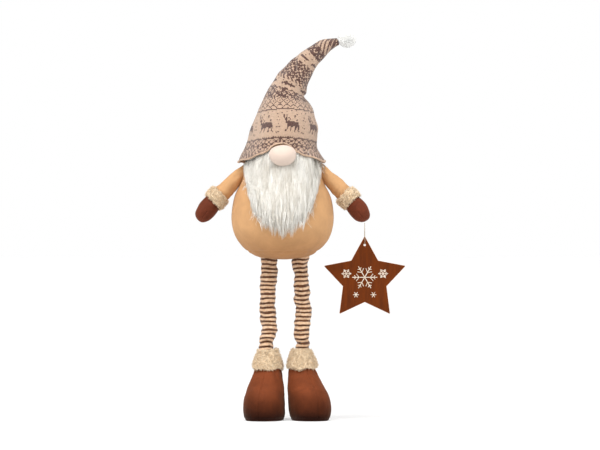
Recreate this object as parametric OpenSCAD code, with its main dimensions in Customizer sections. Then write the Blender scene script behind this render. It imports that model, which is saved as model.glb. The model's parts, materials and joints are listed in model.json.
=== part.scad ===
// A tall gnome of stuffed cloth that stands on telescopic legs, in millimetres.
// +Z is up, the figure faces -Y, and its own left hand is on +X.
// The soles stand on z = 0, and the origin is below the middle of the whole model's box.

/* [Body] */
// Height of the body's underside above the floor
hip_z = 352; // [346:1:356]
// Height of the body with its head
body_h = 294; // [290:1:298]
// Widest width of the body
body_w = 226; // [216:1:230]
// Thickness of the body's cloth
cloth_t = 2; // [1.5:0.5:3]

/* [Legs] */
// Distance of the left leg from the body's axis
left_leg_x = 42; // [41:0.5:44]
// Distance of the right leg from the body's axis
right_leg_x = 32; // [31:0.5:34]
// Outer radius of the inner tube
tube_r = 6; // [5:0.5:6.5]
// Outer radius of a stocking
sock_r = 18; // [17:0.5:18.5]

/* [Boots] */
// Reach of the toe in front of the leg
toe_reach = 85; // [78:1:88]
// Reach of the heel behind the leg
heel_reach = 35; // [33:1:36]
// Half of a boot's width
boot_half_w = 45; // [42:0.5:45.5]
// Turn of the left toe outwards, in degrees
left_toe_out = 22; // [15:1:24]
// Turn of the right toe outwards, in degrees
right_toe_out = 13; // [8:1:15]

/* [Arms] */
// Angle between a hanging arm and the vertical
arm_angle = 44; // [43:1:48]
// Lean of the arms to the front
arm_lean = 8; // [4:1:12]
// Largest radius of a sleeve
sleeve_r = 20; // [18:0.5:20.5]
// Largest radius of a mitten
mitten_r = 22; // [19:0.5:22.5]

/* [Hat] */
// Radius of the ball inside the hat's bend
ball_r = 40; // [38:0.5:40]
// Radius of the pompom
pompom_r = 19; // [16:0.5:20]

/* [Nose] */
// Half of the nose's width
nose_half_w = 30.5; // [26:0.5:31]
// Radius of the nose across its middle
nose_r = 23.5; // [20:0.5:24]

/* [Star] */
// Distance from the star's middle to its points
star_r = 92; // [80:1:94]
// Distance from the star's middle to its inner corners
star_inner_r = 50; // [42:1:52]
// Thickness of the star's board
star_t = 3; // [2:0.5:3]

/* [Cord] */
// Diameter of the twine
cord_d = 1; // [0.8:0.1:1]

/* [Hidden] */
$fn = 48;
LEFT = 1;
RIGHT = -1;

// The body's axis, from the origin
body_at = [-38, 6.5, 0];
// Clearance between pieces that move apart, and between pieces that only touch
gap = 0.3;
touch = 0.1;

// Body outline, as shares of its half width and height: a pear under a narrower head
body_shares = [
    [0, 0], [0.42, 0.007], [0.74, 0.07], [0.94, 0.17], [1, 0.306], [0.947, 0.456],
    [0.81, 0.571], [0.708, 0.707], [0.637, 0.844], [0.44, 0.96], [0, 1]
];
body_line = curve([for (k = body_shares) [k[0] * body_w / 2, hip_z + k[1] * body_h]]);

// Hip board and leg tubes
board_z = hip_z + 10;
board_t = 5;
board_r = 56;
flange_r = 19;
flange_t = 3;
hub_h = 14;
screw_r = 1.6;
head_r = 3.2;
head_h = 2;
slide_fit = 0.05;
bush_z = hip_z - 22;
bush_t = 1.5;
bush_h = 40;
outer_r = tube_r + slide_fit + bush_t;
outer_top = bush_z + 240;
plug_z = bush_z + 70;
plug_h = 10;

// Boots: height, half width, toe reach and heel reach of each level, as shares below the neck
boot_levels = [
    [2, 0.82, 0.87, 0.74], [10, 0.965, 0.975, 0.94], [25, 1, 1, 1], [45, 1, 0.985, 1.02],
    [62, 0.965, 0.89, 1.02], [78, 0.9, 0.7, 1], [94, 0.8, 0.53, 0.94]
];
neck_r = 31;
neck_levels = [110, 122];
neck_z = 122;
boot_top = 126;
boot_t = 2;
opening_r = 24;
sole_t = 2;
heel_narrowing = 0.2;
outward_shift = [1, 6];
foot_r = 18;
foot_screws_at = 13;
ballast_r = 25;
cuff_low = 114;
cuff_high = 155;

// Arms, measured along the arm from the shoulder
shoulder = [84, 0, 546];
body_slope = 20;
sleeve_clearance = 2.4;
sleeve_line = [[0.6, 0], [0.8, 25], [0.98, 55], [1, 70], [0.94, 80]];
mitten_at = 98;
mitten_bend = 6;
mitten_line = [
    [0, -6], [0.8, -5], [0.92, 0], [1, 15], [0.97, 29], [0.8, 41], [0.47, 50], [0, 53.5]
];
arm_cuff_line = [[21.6, 70], [23.6, 68], [24.6, 73], [25.2, 86], [24.6, 98], [23.6, 102], [21.6, 100]];
lowered = 4;
raised = 30;

// Hat: height, middle and radius of each level ring, then place and radius of each bent ring
hat_levels = [
    [563, -2, 95], [569, -2, 93], [582, -3, 85.5], [595, -3, 79], [621, 1, 75],
    [635, 4, 73], [648, 5, 70], [674, 6, 61], [702, 7, 47.5]
];
bend_at = [14, 0, 720];
hat_spine = [
    [16, 728, 38], [21, 742, 35.5], [28.5, 753, 32], [36, 766, 30], [44, 779, 27],
    [58, 792, 25], [70, 805, 22], [90, 818, 18], [108, 826, 13], [123, 831, 7]
];
hat_t = 2;
wire_r = 1;
pompom_at = [143, 0, 832.6];

nose_at = [0, -90, 577];
nose_back = -83.5;

// Right half of the beard seen from the front, from its pointed tips up to the hat
beard_half = [
    [0, 393], [12, 405], [21, 397], [33, 417], [43, 411], [52, 434], [60, 440], [68, 470],
    [78, 510], [86, 545], [84, 565], [64, 586], [40, 592], [0, 594]
];
// Radius of the beard's outside at each height
beard_outside = [[104, 385], [118, 400], [126, 440], [119, 486], [105, 520], [91.5, 550], [80, 580], [75.8, 597]];

// Star and its twine. The twine runs down the star's front, through its hole and back up.
star_at = [179, -20, 307.5];
star_hole_at = [179, -20, 382];
star_hole_r = 2.5;
tip_round = 1.5;
cord_route = [
    [179, -22.4, 430.7], [179, -22.4, 423], [179.2, -22.4, 416], [179.4, -22.4, 409],
    [179.5, -22.4, 402], [179.5, -22.4, 395], [179.3, -22.4, 389], [179.1, -22.4, 385.5],
    [179, -22.2, 383.9], [179, -21.5, 383.1], [179, -20, 382.9], [179, -18.5, 383.1],
    [179, -17.8, 383.9], [178.9, -17.6, 385.5], [178.7, -17.6, 389], [178.5, -17.6, 395],
    [178.5, -17.6, 402], [178.6, -17.6, 409], [178.8, -17.6, 416], [179, -17.6, 423],
    [179, -17.6, 430.7]
];

function key(list, i) = list[max(0, min(len(list) - 1, i))];
function catmull(keys, i, t) =
    let (a = key(keys, i - 1), b = key(keys, i), c = key(keys, i + 1), d = key(keys, i + 2))
    0.5 * (2 * b + (c - a) * t + (2 * a - 5 * b + 4 * c - d) * t * t
        + (3 * b - a - 3 * c + d) * t * t * t);
// A smooth line through the keys
function curve(keys, steps = 4) = [
    for (i = [0:len(keys) - 2], s = [0:steps - 1]) catmull(keys, i, s / steps),
    key(keys, len(keys))
];
function unit(v) = v / norm(v);
// The outline with each point moved d to its inside, and kept on its side of the axis
function inset(line, d) = [
    for (i = [0:len(line) - 1])
        let (along = unit(key(line, i + 1) - key(line, i - 1)), p = line[i] + d * [-along[1], along[0]])
        [max(0, p[0]), p[1]]
];
function reversed(list) = [for (i = [len(list) - 1:-1:0]) list[i]];
function mirrored(list) = concat(
    list, [for (i = [len(list) - 2:-1:1]) [-list[i][0], list[i][1]]]
);
function smooth(t) = t * t * (3 - 2 * t);
function leg_x(side) = side == LEFT ? left_leg_x : -right_leg_x;
function toe_out(side) = side == LEFT ? left_toe_out : -right_toe_out;

// One egg shaped ring of a boot, narrower at the heel and moved outwards below the neck
function boot_ring(side, z, w, f, b, steps = 40) =
    let (low = smooth(max(0, 1 - z / neck_z)), k = heel_narrowing * low,
        shift = side * low * outward_shift[side == LEFT ? 1 : 0])
    [for (i = [0:steps - 1])
        let (t = i * 360 / steps)
        [w * cos(t) * (1 - k * sin(t)) + shift, (b - f) / 2 + (f + b) / 2 * sin(t), z]];
function round_ring(z, r) = boot_ring(RIGHT, z, r, r, r);
function boot_rings(side, in) = concat(
    [for (k = boot_levels)
        boot_ring(side, k[0], k[1] * boot_half_w - in, k[2] * toe_reach - in, k[3] * heel_reach - in)],
    [for (z = neck_levels) boot_ring(side, z, neck_r - in, neck_r - in, neck_r - in)]
);

// Rings of the hat: level ones below the bend, and ones across the bent spine above it
function level_ring(k, in, steps = 48) = [
    for (i = [0:steps - 1]) let (a = i * 360 / steps)
        [k[1] + (k[2] - in) * cos(a), (k[2] - in) * sin(a), k[0]]
];
function tilted_ring(x, z, r, tilt, steps) = [
    for (i = [0:steps - 1]) let (a = i * 360 / steps)
        [x + r * cos(a) * cos(tilt), r * sin(a), z - r * cos(a) * sin(tilt)]
];
function spine_tilt(i) = let (d = key(hat_spine, i + 1) - key(hat_spine, i - 1)) atan2(d[0], d[1]);
function spine_ring(i, in, steps = 32) =
    let (k = hat_spine[i]) tilted_ring(k[0], k[1], k[2] - in, spine_tilt(i), steps);
// The round end inside the bend, whose rings stand square to the spine's first tilt
function ball_rings(in, steps = 32) = [
    for (a = [-80:16:0]) let (r = ball_r - in, t = spine_tilt(0))
        tilted_ring(bend_at[0] + r * sin(a) * sin(t), bend_at[2] + r * sin(a) * cos(t), r * cos(a), t, steps)
];
function hat_upper_rings(in, last) = concat(ball_rings(in), [for (i = [0:last]) spine_ring(i, in)]);

// A tube's rings along a route of points in planes of constant X
function cord_ring(i, sides = 8) =
    let (t = unit(key(cord_route, i + 1) - key(cord_route, i - 1)), u = unit(cross(t, [1, 0, 0])),
        v = cross(t, u))
    [for (j = [0:sides - 1])
        cord_route[i] + cord_d / 2 * (cos(j * 360 / sides) * u + sin(j * 360 / sides) * v)];

// A closed solid through rings that each have the same number of points
module loft(rings) {
    n = len(rings[0]);
    m = len(rings);
    polyhedron(
        points = [for (r = rings) for (p = r) p],
        faces = concat(
            [[for (j = [0:n - 1]) j]],
            [for (i = [0:m - 2], j = [0:n - 1]) [i * n + j, (i + 1) * n + j, (i + 1) * n + (j + 1) % n]],
            [for (i = [0:m - 2], j = [0:n - 1]) [i * n + j, (i + 1) * n + (j + 1) % n, i * n + (j + 1) % n]],
            [[for (j = [n - 1:-1:0]) (m - 1) * n + j]]
        )
    );
}

module revolve(line) {
    rotate_extrude() polygon(line);
}

module tube(r, inner_r, z, h) {
    translate([0, 0, z]) difference() {
        cylinder(r = r, h = h);
        translate([0, 0, -1]) cylinder(r = inner_r, h = h + 2);
    }
}

module at_leg(side) {
    translate(body_at + [leg_x(side), 0, 0]) children();
}

module at_boot(side) {
    at_leg(side) rotate([0, 0, toe_out(side)]) children();
}

// The arm hangs along -Z of this place
module at_arm(side) {
    translate(body_at + [side * shoulder[0], shoulder[1], shoulder[2]])
        rotate([-arm_lean, -side * arm_angle, 0]) children();
}

module at_mitten(side) {
    at_arm(side) translate([0, 0, -mitten_at]) rotate([0, side * mitten_bend, 0]) children();
}

// Screws on a ring, each a head on z and a shank below it
module ring_of_screws(count, ring_r, z, shank) {
    for (i = [0:count - 1]) rotate([0, 0, i * 360 / count + 45]) translate([ring_r, 0, z]) {
        cylinder(r = head_r, h = head_h);
        translate([0, 0, -shank]) cylinder(r = screw_r, h = shank + 0.5);
    }
}

module ring_of_holes(count, ring_r, z, h) {
    for (i = [0:count - 1]) rotate([0, 0, i * 360 / count + 45])
        translate([ring_r, 0, z]) cylinder(r = screw_r + touch, h = h);
}

/* Body */

module body_cover() {
    color("tan") translate(body_at) difference() {
        revolve(body_line);
        revolve(inset(body_line, cloth_t));
        for (side = [LEFT, RIGHT]) translate([leg_x(side), 0, hip_z - 5])
            cylinder(r = sock_r + gap, h = 16);
    }
}

module body_filling() {
    color("white") translate(body_at) difference() {
        revolve(inset(body_line, cloth_t + touch));
        translate([0, 0, board_z - touch]) cylinder(r = board_r + touch, h = board_t + 2 * touch);
        for (side = [LEFT, RIGHT]) translate([leg_x(side), 0, 0]) {
            translate([0, 0, hip_z - 5]) cylinder(r = sock_r + gap, h = board_z - hip_z + 5.5);
            translate([0, 0, board_z]) cylinder(r = flange_r + gap, h = board_t + flange_t + head_h + 0.5);
            translate([0, 0, board_z]) cylinder(r = outer_r + 5 + gap, h = board_t + flange_t + hub_h + 0.5);
            translate([0, 0, board_z]) cylinder(r = outer_r + 3, h = outer_top - board_z + 6.5);
        }
    }
}

module hip_board() {
    color("burlywood") translate(body_at) difference() {
        translate([0, 0, board_z]) cylinder(r = board_r, h = board_t);
        for (side = [LEFT, RIGHT]) translate([leg_x(side), 0, 0]) {
            translate([0, 0, board_z - 1]) cylinder(r = outer_r + 1 + touch, h = board_t + 2);
            ring_of_holes(4, 14, board_z - 1, board_t + 2);
        }
    }
}

module tube_flange(side) {
    color("dimgray") at_leg(side) difference() {
        union() {
            translate([0, 0, board_z + board_t]) cylinder(r = flange_r, h = flange_t);
            translate([0, 0, board_z + board_t]) cylinder(r = outer_r + 3, h = hub_h);
        }
        translate([0, 0, board_z]) cylinder(r = outer_r + 1 + touch, h = hub_h + 10);
        ring_of_holes(4, 14, board_z, hub_h);
    }
}

module flange_screws() {
    color("silver") for (side = [LEFT, RIGHT]) at_leg(side)
        ring_of_screws(4, 14, board_z + board_t + flange_t, board_t + flange_t);
}

module outer_tube(side) {
    color("silver") at_leg(side) tube(outer_r + 1, outer_r, bush_z, outer_top - bush_z);
}

module tube_cap(side) {
    color("black") at_leg(side) difference() {
        translate([0, 0, outer_top - 8]) cylinder(r = outer_r + 2.5, h = 12);
        translate([0, 0, outer_top - 9]) cylinder(r = outer_r + 1 + touch, h = 9);
    }
}

module slide_bush(side) {
    color("white") at_leg(side) difference() {
        union() {
            translate([0, 0, bush_z]) cylinder(r = outer_r - touch, h = bush_h);
            translate([0, 0, bush_z - 3]) cylinder(r = outer_r + 2.5, h = 3);
        }
        translate([0, 0, bush_z - 4]) cylinder(r = tube_r + slide_fit, h = bush_h + 5);
    }
}

module sock(side) {
    color("peachpuff") at_leg(side)
        tube(sock_r, sock_r - 1.2, boot_top + 2, board_z - gap - boot_top - 2);
}

/* Beard and nose */

// Everything in front of the body inside the beard's outline, shrunk by in
module beard_prism(in) {
    middle = [0, 500];
    shrink = 1 - in / 100;
    translate([0, -50, 0]) rotate([90, 0, 0]) linear_extrude(100)
        polygon([for (p = mirrored(beard_half)) middle + shrink * (p - middle)]);
}

module nose_shape(grow) {
    line = [for (a = [-90:9:90]) [(nose_r + grow) * cos(a), (nose_half_w + grow) * sin(a)]];
    translate(nose_at) rotate([0, 90, 0]) revolve(line);
}

module beard() {
    color("whitesmoke") translate(body_at) difference() {
        intersection() {
            revolve(concat(inset(beard_inside(), -1.9), reversed(curve(beard_outside))));
            beard_prism(0);
        }
        nose_shape(gap);
    }
}

// The part of the body's outline that the beard covers
function beard_inside() = [for (p = body_line) if (p[1] > 380 && p[1] < 604) p];

module beard_backing() {
    color("linen") translate(body_at) intersection() {
        revolve(concat(inset(beard_inside(), -0.2), reversed(inset(beard_inside(), -1.7))));
        beard_prism(3);
    }
}

module nose_cover() {
    color("antiquewhite") translate(body_at) difference() {
        intersection() {
            nose_shape(0);
            translate([-50, nose_back - 50, 520]) cube([100, 50, 120]);
        }
        intersection() {
            nose_shape(-1.5);
            translate([-50, nose_back - 51.5, 520]) cube([100, 50, 120]);
        }
    }
}

module nose_filling() {
    color("white") translate(body_at) intersection() {
        nose_shape(-1.6);
        translate([-50, nose_back - 51.6, 520]) cube([100, 50, 120]);
    }
}

/* Hat */

// Everything in front of the body below the brim's arch
module brim_arch() {
    translate([0, -20, 0]) rotate([90, 0, 0]) linear_extrude(100) polygon(mirrored([
        [0, 540], [110, 540], [110, 562.5], [95, 562.5], [66, 572], [34, 586], [24, 597], [12, 603.5], [0, 605]
    ]));
}

module hat_lower() {
    color("wheat") translate(body_at) difference() {
        loft([for (k = hat_levels) level_ring(k, 0)]);
        loft(concat(
            [level_ring([540, -2, 110], hat_t)],
            [for (k = hat_levels) level_ring(k, hat_t)],
            [level_ring([710, 7, 44], hat_t)]
        ));
        brim_arch();
    }
}

module hat_filling_lower() {
    color("white") translate(body_at) difference() {
        loft([for (k = hat_levels) if (k[0] > 600) level_ring(k, hat_t + touch)]);
        revolve(inset(body_line, -touch));
        translate(bend_at) sphere(r = ball_r + gap);
        translate([bend_at[0], 0, 0]) cylinder(r = wire_r + touch, h = bend_at[2]);
        beard_room();
    }
}

// The beard's top edge reaches up under the hat
module beard_room() {
    translate([0, -50, 600]) cube([160, 60, 30], center = true);
}

module hat_wire_lower() {
    color("gray") translate(body_at + [bend_at[0], 0, 650])
        cylinder(r = wire_r, h = bend_at[2] - ball_r - 650 - 1);
}

module hat_upper() {
    color("wheat") translate(body_at) difference() {
        loft(hat_upper_rings(0, len(hat_spine) - 1));
        loft(hat_upper_rings(hat_t, len(hat_spine) - 2));
    }
}

module hat_filling_upper() {
    color("white") translate(body_at) difference() {
        loft(hat_upper_rings(hat_t + touch, len(hat_spine) - 3));
        spine_wire(touch);
    }
}

module hat_wire_upper() {
    color("gray") translate(body_at) spine_wire(0);
}

// The wire through the bent part, from inside the ball almost to the tip
module spine_wire(grow) {
    loft([for (i = [0:len(hat_spine) - 4]) spine_ring(i, hat_spine[i][2] - wire_r - grow, 12)]);
}

module pompom() {
    color("white") translate(body_at + pompom_at) sphere(r = pompom_r);
}

/* Arms */

function along_arm(line, r) = [for (k = line) [k[0] * r, -k[1]]];
function sleeve_wall(in) = [for (p = curve(sleeve_line, 3)) [p[0] * sleeve_r - in, -p[1]]];
function mitten_outline() = reversed(curve(along_arm(mitten_line, mitten_r)));

// The body's side, as the sleeve's end meets it with the arm lowered and raised
module body_side(side) {
    translate(body_at + [side * shoulder[0], shoulder[1], shoulder[2]])
        for (a = [-lowered, raised]) rotate([0, -side * (body_slope - a), 0])
            translate([side * (sleeve_clearance - 100), 0, 0]) cube(200, center = true);
}

module arm_cover(side) {
    color("tan") difference() {
        at_arm(side) revolve(concat(sleeve_wall(0), reversed(sleeve_wall(cloth_t))));
        body_side(side);
    }
}

module arm_filling(side) {
    color("white") difference() {
        at_arm(side) revolve(concat(
            [[0, 0]], sleeve_wall(cloth_t + touch), [[0, -sleeve_line[len(sleeve_line) - 1][1]]]
        ));
        body_side(side);
    }
}

module arm_cuff(side) {
    color("wheat") at_arm(side) revolve(reversed([for (k = curve(arm_cuff_line)) [k[0], -k[1]]]));
}

module mitten_cover(side) {
    color("saddlebrown") at_mitten(side) difference() {
        revolve(mitten_outline());
        revolve(inset(mitten_outline(), 1.5));
    }
}

module mitten_filling(side) {
    color("white") at_mitten(side) revolve(inset(mitten_outline(), 1.6));
}

/* Boots */

module inner_tube(side) {
    color("silver") at_leg(side) tube(tube_r, tube_r - 1, sole_t + 3.3, plug_z - sole_t - 3.3);
}

module stop_plug(side) {
    color("white") at_leg(side) {
        translate([0, 0, plug_z]) cylinder(r = outer_r - slide_fit - 0.03, h = plug_h);
        translate([0, 0, plug_z - 12]) cylinder(r = tube_r - 1 - touch, h = 13);
    }
}

module foot_flange(side) {
    color("dimgray") at_boot(side) difference() {
        union() {
            translate([0, 0, sole_t + 3]) cylinder(r = foot_r, h = 3);
            translate([0, 0, sole_t + 3]) cylinder(r = tube_r + 3, h = 15);
        }
        translate([0, 0, sole_t]) cylinder(r = tube_r + touch, h = 20);
        ring_of_holes(3, foot_screws_at, sole_t, 10);
    }
}

module foot_screws(side) {
    color("silver") at_boot(side) ring_of_screws(3, foot_screws_at, sole_t + 6, 5.8);
}

module sole_shape(side, in, h) {
    k = boot_levels[0];
    linear_extrude(h) polygon([
        for (p = boot_ring(side, k[0], k[1] * boot_half_w - in, k[2] * toe_reach - in, k[3] * heel_reach - in))
            [p[0], p[1]]
    ]);
}

module sole_panel(side) {
    color("maroon") at_boot(side) sole_shape(side, 0, sole_t);
}

module sole_board(side) {
    color("burlywood") at_boot(side) difference() {
        translate([0, 0, sole_t]) sole_shape(side, boot_t + 1, 3);
        ring_of_holes(3, foot_screws_at, sole_t - 1, 5);
    }
}

module ballast_bag(side) {
    color("gray") at_boot(side) revolve([
        [11, 12], [20, 12], [24, 15], [ballast_r, 25], [24, 42], [20, 46], [11, 46]
    ]);
}

module boot_filling(side) {
    color("white") at_boot(side) difference() {
        loft(boot_rings(side, boot_t + 1));
        translate([-100, -100, 0]) cube([200, 200, sole_t + 3 + touch]);
        cylinder(r = tube_r + gap, h = 130);
        cylinder(r = foot_r + gap, h = sole_t + 6 + head_h + gap);
        translate([0, 0, 5]) cylinder(r = ballast_r + gap, h = 41.3);
    }
}

module boot_cover(side) {
    color("saddlebrown") at_boot(side) difference() {
        loft(concat(boot_rings(side, 0), [round_ring(boot_top, neck_r - 2)]));
        loft(concat(
            [boot_ring(side, 1, 34, 70, 22)], boot_rings(side, boot_t),
            [round_ring(neck_z + 1.5, opening_r), round_ring(boot_top + 2, opening_r)]
        ));
    }
}

module boot_cuff(side) {
    color("wheat") at_leg(side) revolve([
        [neck_r + gap, cuff_low + 1], [neck_r + 2, cuff_low], [neck_r + 3, cuff_low + 2],
        [neck_r + 2.5, cuff_low + 10], [neck_r - 2, cuff_high - 18], [24, cuff_high - 4], [22, cuff_high],
        [sock_r + 1.5, cuff_high - 1], [sock_r + 1.3, boot_top + gap], [neck_r + gap, boot_top + gap]
    ]);
}

/* Star */

// One rounded corner, turned by a, whose point would be r from the middle
function star_tip(r, a) = [
    for (s = [-60:20:60]) let (c = r - tip_round / sin(29))
        [c * sin(a) + tip_round * sin(a + s), c * cos(a) + tip_round * cos(a + s)]
];
function star_outline() = [
    for (i = [0:4]) each concat(
        star_tip(star_r + 2, i * 72),
        [[star_inner_r * sin(i * 72 + 36), star_inner_r * cos(i * 72 + 36)]]
    )
];

module star_plate() {
    color("brown") translate(body_at) difference() {
        translate(star_at + [0, star_t / 2, 0]) rotate([90, 0, 0]) linear_extrude(star_t)
            polygon(star_outline());
        translate(star_hole_at) rotate([90, 0, 0]) cylinder(r = star_hole_r, h = 2 * star_t, center = true);
    }
}

module star_cord() {
    color("beige") translate(body_at) loft([for (i = [0:len(cord_route) - 1]) cord_ring(i)]);
}

body_cover();
body_filling();
hip_board();
flange_screws();
tube_flange(RIGHT);  // right_tube_flange
tube_flange(LEFT);  // left_tube_flange
outer_tube(RIGHT);  // right_outer_tube
outer_tube(LEFT);  // left_outer_tube
tube_cap(RIGHT);  // right_tube_cap
tube_cap(LEFT);  // left_tube_cap
slide_bush(RIGHT);  // right_slide_bush
slide_bush(LEFT);  // left_slide_bush
sock(RIGHT);  // right_sock
sock(LEFT);  // left_sock
beard();
beard_backing();
nose_cover();
nose_filling();
hat_lower();
hat_filling_lower();
hat_wire_lower();
hat_upper();
hat_filling_upper();
hat_wire_upper();
pompom();
arm_cover(RIGHT);  // right_arm_cover
arm_filling(RIGHT);  // right_arm_filling
arm_cuff(RIGHT);  // right_arm_cuff
mitten_cover(RIGHT);  // right_mitten_cover
mitten_filling(RIGHT);  // right_mitten_filling
arm_cover(LEFT);  // left_arm_cover
arm_filling(LEFT);  // left_arm_filling
arm_cuff(LEFT);  // left_arm_cuff
mitten_cover(LEFT);  // left_mitten_cover
mitten_filling(LEFT);  // left_mitten_filling
inner_tube(RIGHT);  // right_inner_tube
stop_plug(RIGHT);  // right_stop_plug
foot_flange(RIGHT);  // right_foot_flange
foot_screws(RIGHT);  // right_foot_screws
sole_panel(RIGHT);  // right_sole_panel
sole_board(RIGHT);  // right_sole_board
ballast_bag(RIGHT);  // right_ballast_bag
boot_filling(RIGHT);  // right_boot_filling
boot_cover(RIGHT);  // right_boot_cover
boot_cuff(RIGHT);  // right_boot_cuff
inner_tube(LEFT);  // left_inner_tube
stop_plug(LEFT);  // left_stop_plug
foot_flange(LEFT);  // left_foot_flange
foot_screws(LEFT);  // left_foot_screws
sole_panel(LEFT);  // left_sole_panel
sole_board(LEFT);  // left_sole_board
ballast_bag(LEFT);  // left_ballast_bag
boot_filling(LEFT);  // left_boot_filling
boot_cover(LEFT);  // left_boot_cover
boot_cuff(LEFT);  // left_boot_cuff
star_cord();
star_plate();
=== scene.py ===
import json
import math

import bpy
import numpy as np
from bpy.props import FloatProperty, FloatVectorProperty, IntProperty, PointerProperty
from mathutils import Matrix, Vector, noise


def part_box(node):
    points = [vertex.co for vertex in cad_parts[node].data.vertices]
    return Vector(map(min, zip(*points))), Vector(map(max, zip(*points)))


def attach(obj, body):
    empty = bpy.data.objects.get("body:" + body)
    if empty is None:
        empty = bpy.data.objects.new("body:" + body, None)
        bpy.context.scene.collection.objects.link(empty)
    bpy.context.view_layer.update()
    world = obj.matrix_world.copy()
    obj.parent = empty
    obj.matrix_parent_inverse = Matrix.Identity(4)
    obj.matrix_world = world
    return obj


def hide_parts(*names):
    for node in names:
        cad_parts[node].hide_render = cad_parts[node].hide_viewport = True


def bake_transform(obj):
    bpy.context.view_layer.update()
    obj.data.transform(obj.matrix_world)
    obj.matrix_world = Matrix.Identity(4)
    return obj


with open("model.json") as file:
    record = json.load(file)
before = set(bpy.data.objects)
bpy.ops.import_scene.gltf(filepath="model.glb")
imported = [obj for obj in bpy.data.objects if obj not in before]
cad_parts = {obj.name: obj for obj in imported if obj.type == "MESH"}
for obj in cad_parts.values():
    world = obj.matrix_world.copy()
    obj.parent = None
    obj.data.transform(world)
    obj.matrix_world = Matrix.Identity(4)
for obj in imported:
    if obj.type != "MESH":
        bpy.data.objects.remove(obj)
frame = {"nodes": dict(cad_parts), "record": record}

bl_info = {
    "name": "Stuffed Gnome",
    "version": (1, 0, 0),
    "blender": (4, 5, 0),
    "location": "3D View > Sidebar > Gnome",
    "description": "Makes the cloth, fur and knit pieces of a tall stuffed gnome",
    "category": "Object",
}

MM = 0.001
LEFT, RIGHT = 1, -1
SIDES = ((LEFT, "left"), (RIGHT, "right"))
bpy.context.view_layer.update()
BODY_LOW, BODY_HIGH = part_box("body_cover")
AXIS = Vector(((BODY_LOW.x + BODY_HIGH.x) / 2, (BODY_LOW.y + BODY_HIGH.y) / 2, 0))
HIP = BODY_LOW.z
BODY_RADIUS = (BODY_HIGH.x - BODY_LOW.x) / 2
BODY_HEIGHT = BODY_HIGH.z - BODY_LOW.z

# The body's outline: shares of its half width and of its height
BODY_SHAPE = (
    (0, 0), (.42, .007), (.74, .07), (.94, .17), (1, .306), (.947, .456),
    (.81, .571), (.708, .707), (.637, .844), (.44, .96), (0, 1),
)
LEG_X = {side: sum(c.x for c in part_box(name + "_sock")) / 2 - AXIS.x for side, name in SIDES}
TOE_OUT = {LEFT: math.radians(22), RIGHT: math.radians(-13)}
SHOULDER = (.084, 0, .546)
ARM_OUT, ARM_FORWARD = math.radians(44), math.radians(8)
WRIST, WRIST_TURN = -.098, math.radians(6)
STAR_MIDDLE, STAR_HOLE = (179, -20, 307.5), (179, -20, 382)


# ---------------------------------------------------------------- places and shapes

def at(x, y, z):
    """The place of a point given in millimetres from the body's axis."""
    return Vector((AXIS.x + x * MM, AXIS.y + y * MM, z * MM))


def arm_place(side):
    """The arm's own frame, in which it hangs along -Z from the shoulder."""
    return (
        Matrix.Translation(AXIS + Vector((side * SHOULDER[0], SHOULDER[1], SHOULDER[2])))
        @ Matrix.Rotation(-side * ARM_OUT, 4, "Y")
        @ Matrix.Rotation(-ARM_FORWARD, 4, "X")
    )


def mitten_place(side):
    return (
        arm_place(side) @ Matrix.Translation((0, 0, WRIST))
        @ Matrix.Rotation(side * WRIST_TURN, 4, "Y")
    )


def leg_place(side):
    return Matrix.Translation(AXIS + Vector((LEG_X[side], 0, 0)))


def boot_place(side):
    return leg_place(side) @ Matrix.Rotation(TOE_OUT[side], 4, "Z")


def smooth_line(keys, steps=4):
    """Points on a smooth line through the keys."""
    k = np.array([keys[0], *keys, keys[-1]], float)
    line = [
        .5 * (2 * b + (c - a) * t + (2 * a - 5 * b + 4 * c - d) * t ** 2 + (3 * b - a - 3 * c + d) * t ** 3)
        for a, b, c, d in zip(k, k[1:], k[2:], k[3:]) for t in np.arange(steps) / steps
    ]
    return np.array([*line, k[-1]])


BODY_LINE = smooth_line(BODY_SHAPE, 6) * (BODY_RADIUS, BODY_HEIGHT) + (0, HIP)


def body_radius(z):
    return np.interp(z, BODY_LINE[:, 1], BODY_LINE[:, 0])


def smoothstep(t):
    t = np.clip(t, 0, 1)
    return t * t * (3 - 2 * t)


def bell(distance, width):
    """1 where the distance is 0, and soon 0 beyond the width."""
    return np.exp(-(distance / width) ** 2)


def unit(v):
    return v / np.maximum(np.linalg.norm(v, axis=-1, keepdims=True), 1e-9)


def before_body(x, z, away):
    """Points in front of the body, at x and z in millimetres, that far out from its cloth."""
    out = body_radius(z * MM) / MM + away
    y = -np.sqrt(np.maximum(out ** 2 - x ** 2, 30))
    return np.stack([AXIS.x + x * MM, AXIS.y + y * MM, z * MM], 2)


def points_of(o):
    co = np.empty(len(o.data.vertices) * 3, np.float32)
    o.data.vertices.foreach_get("co", co)
    return co.reshape(-1, 3).astype(float)


def normals_of(o):
    n = np.empty(len(o.data.vertices) * 3, np.float32)
    o.data.vertices.foreach_get("normal", n)
    return n.reshape(-1, 3).astype(float)


def set_points(o, co):
    o.data.vertices.foreach_set("co", np.ascontiguousarray(co, np.float32).ravel())
    o.data.update()


def select_only(o):
    bpy.ops.object.select_all(action="DESELECT")
    bpy.context.view_layer.objects.active = o
    o.select_set(True)


def edit(o):
    """Starts editing one piece with all of it selected."""
    select_only(o)
    bpy.ops.object.mode_set(mode="EDIT")
    bpy.ops.mesh.select_all(action="SELECT")


def close_edit():
    bpy.ops.mesh.select_all(action="SELECT")
    bpy.ops.mesh.remove_doubles(threshold=1e-6)
    bpy.ops.mesh.normals_make_consistent(inside=False)
    bpy.ops.object.mode_set(mode="OBJECT")
    return bpy.context.object


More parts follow.
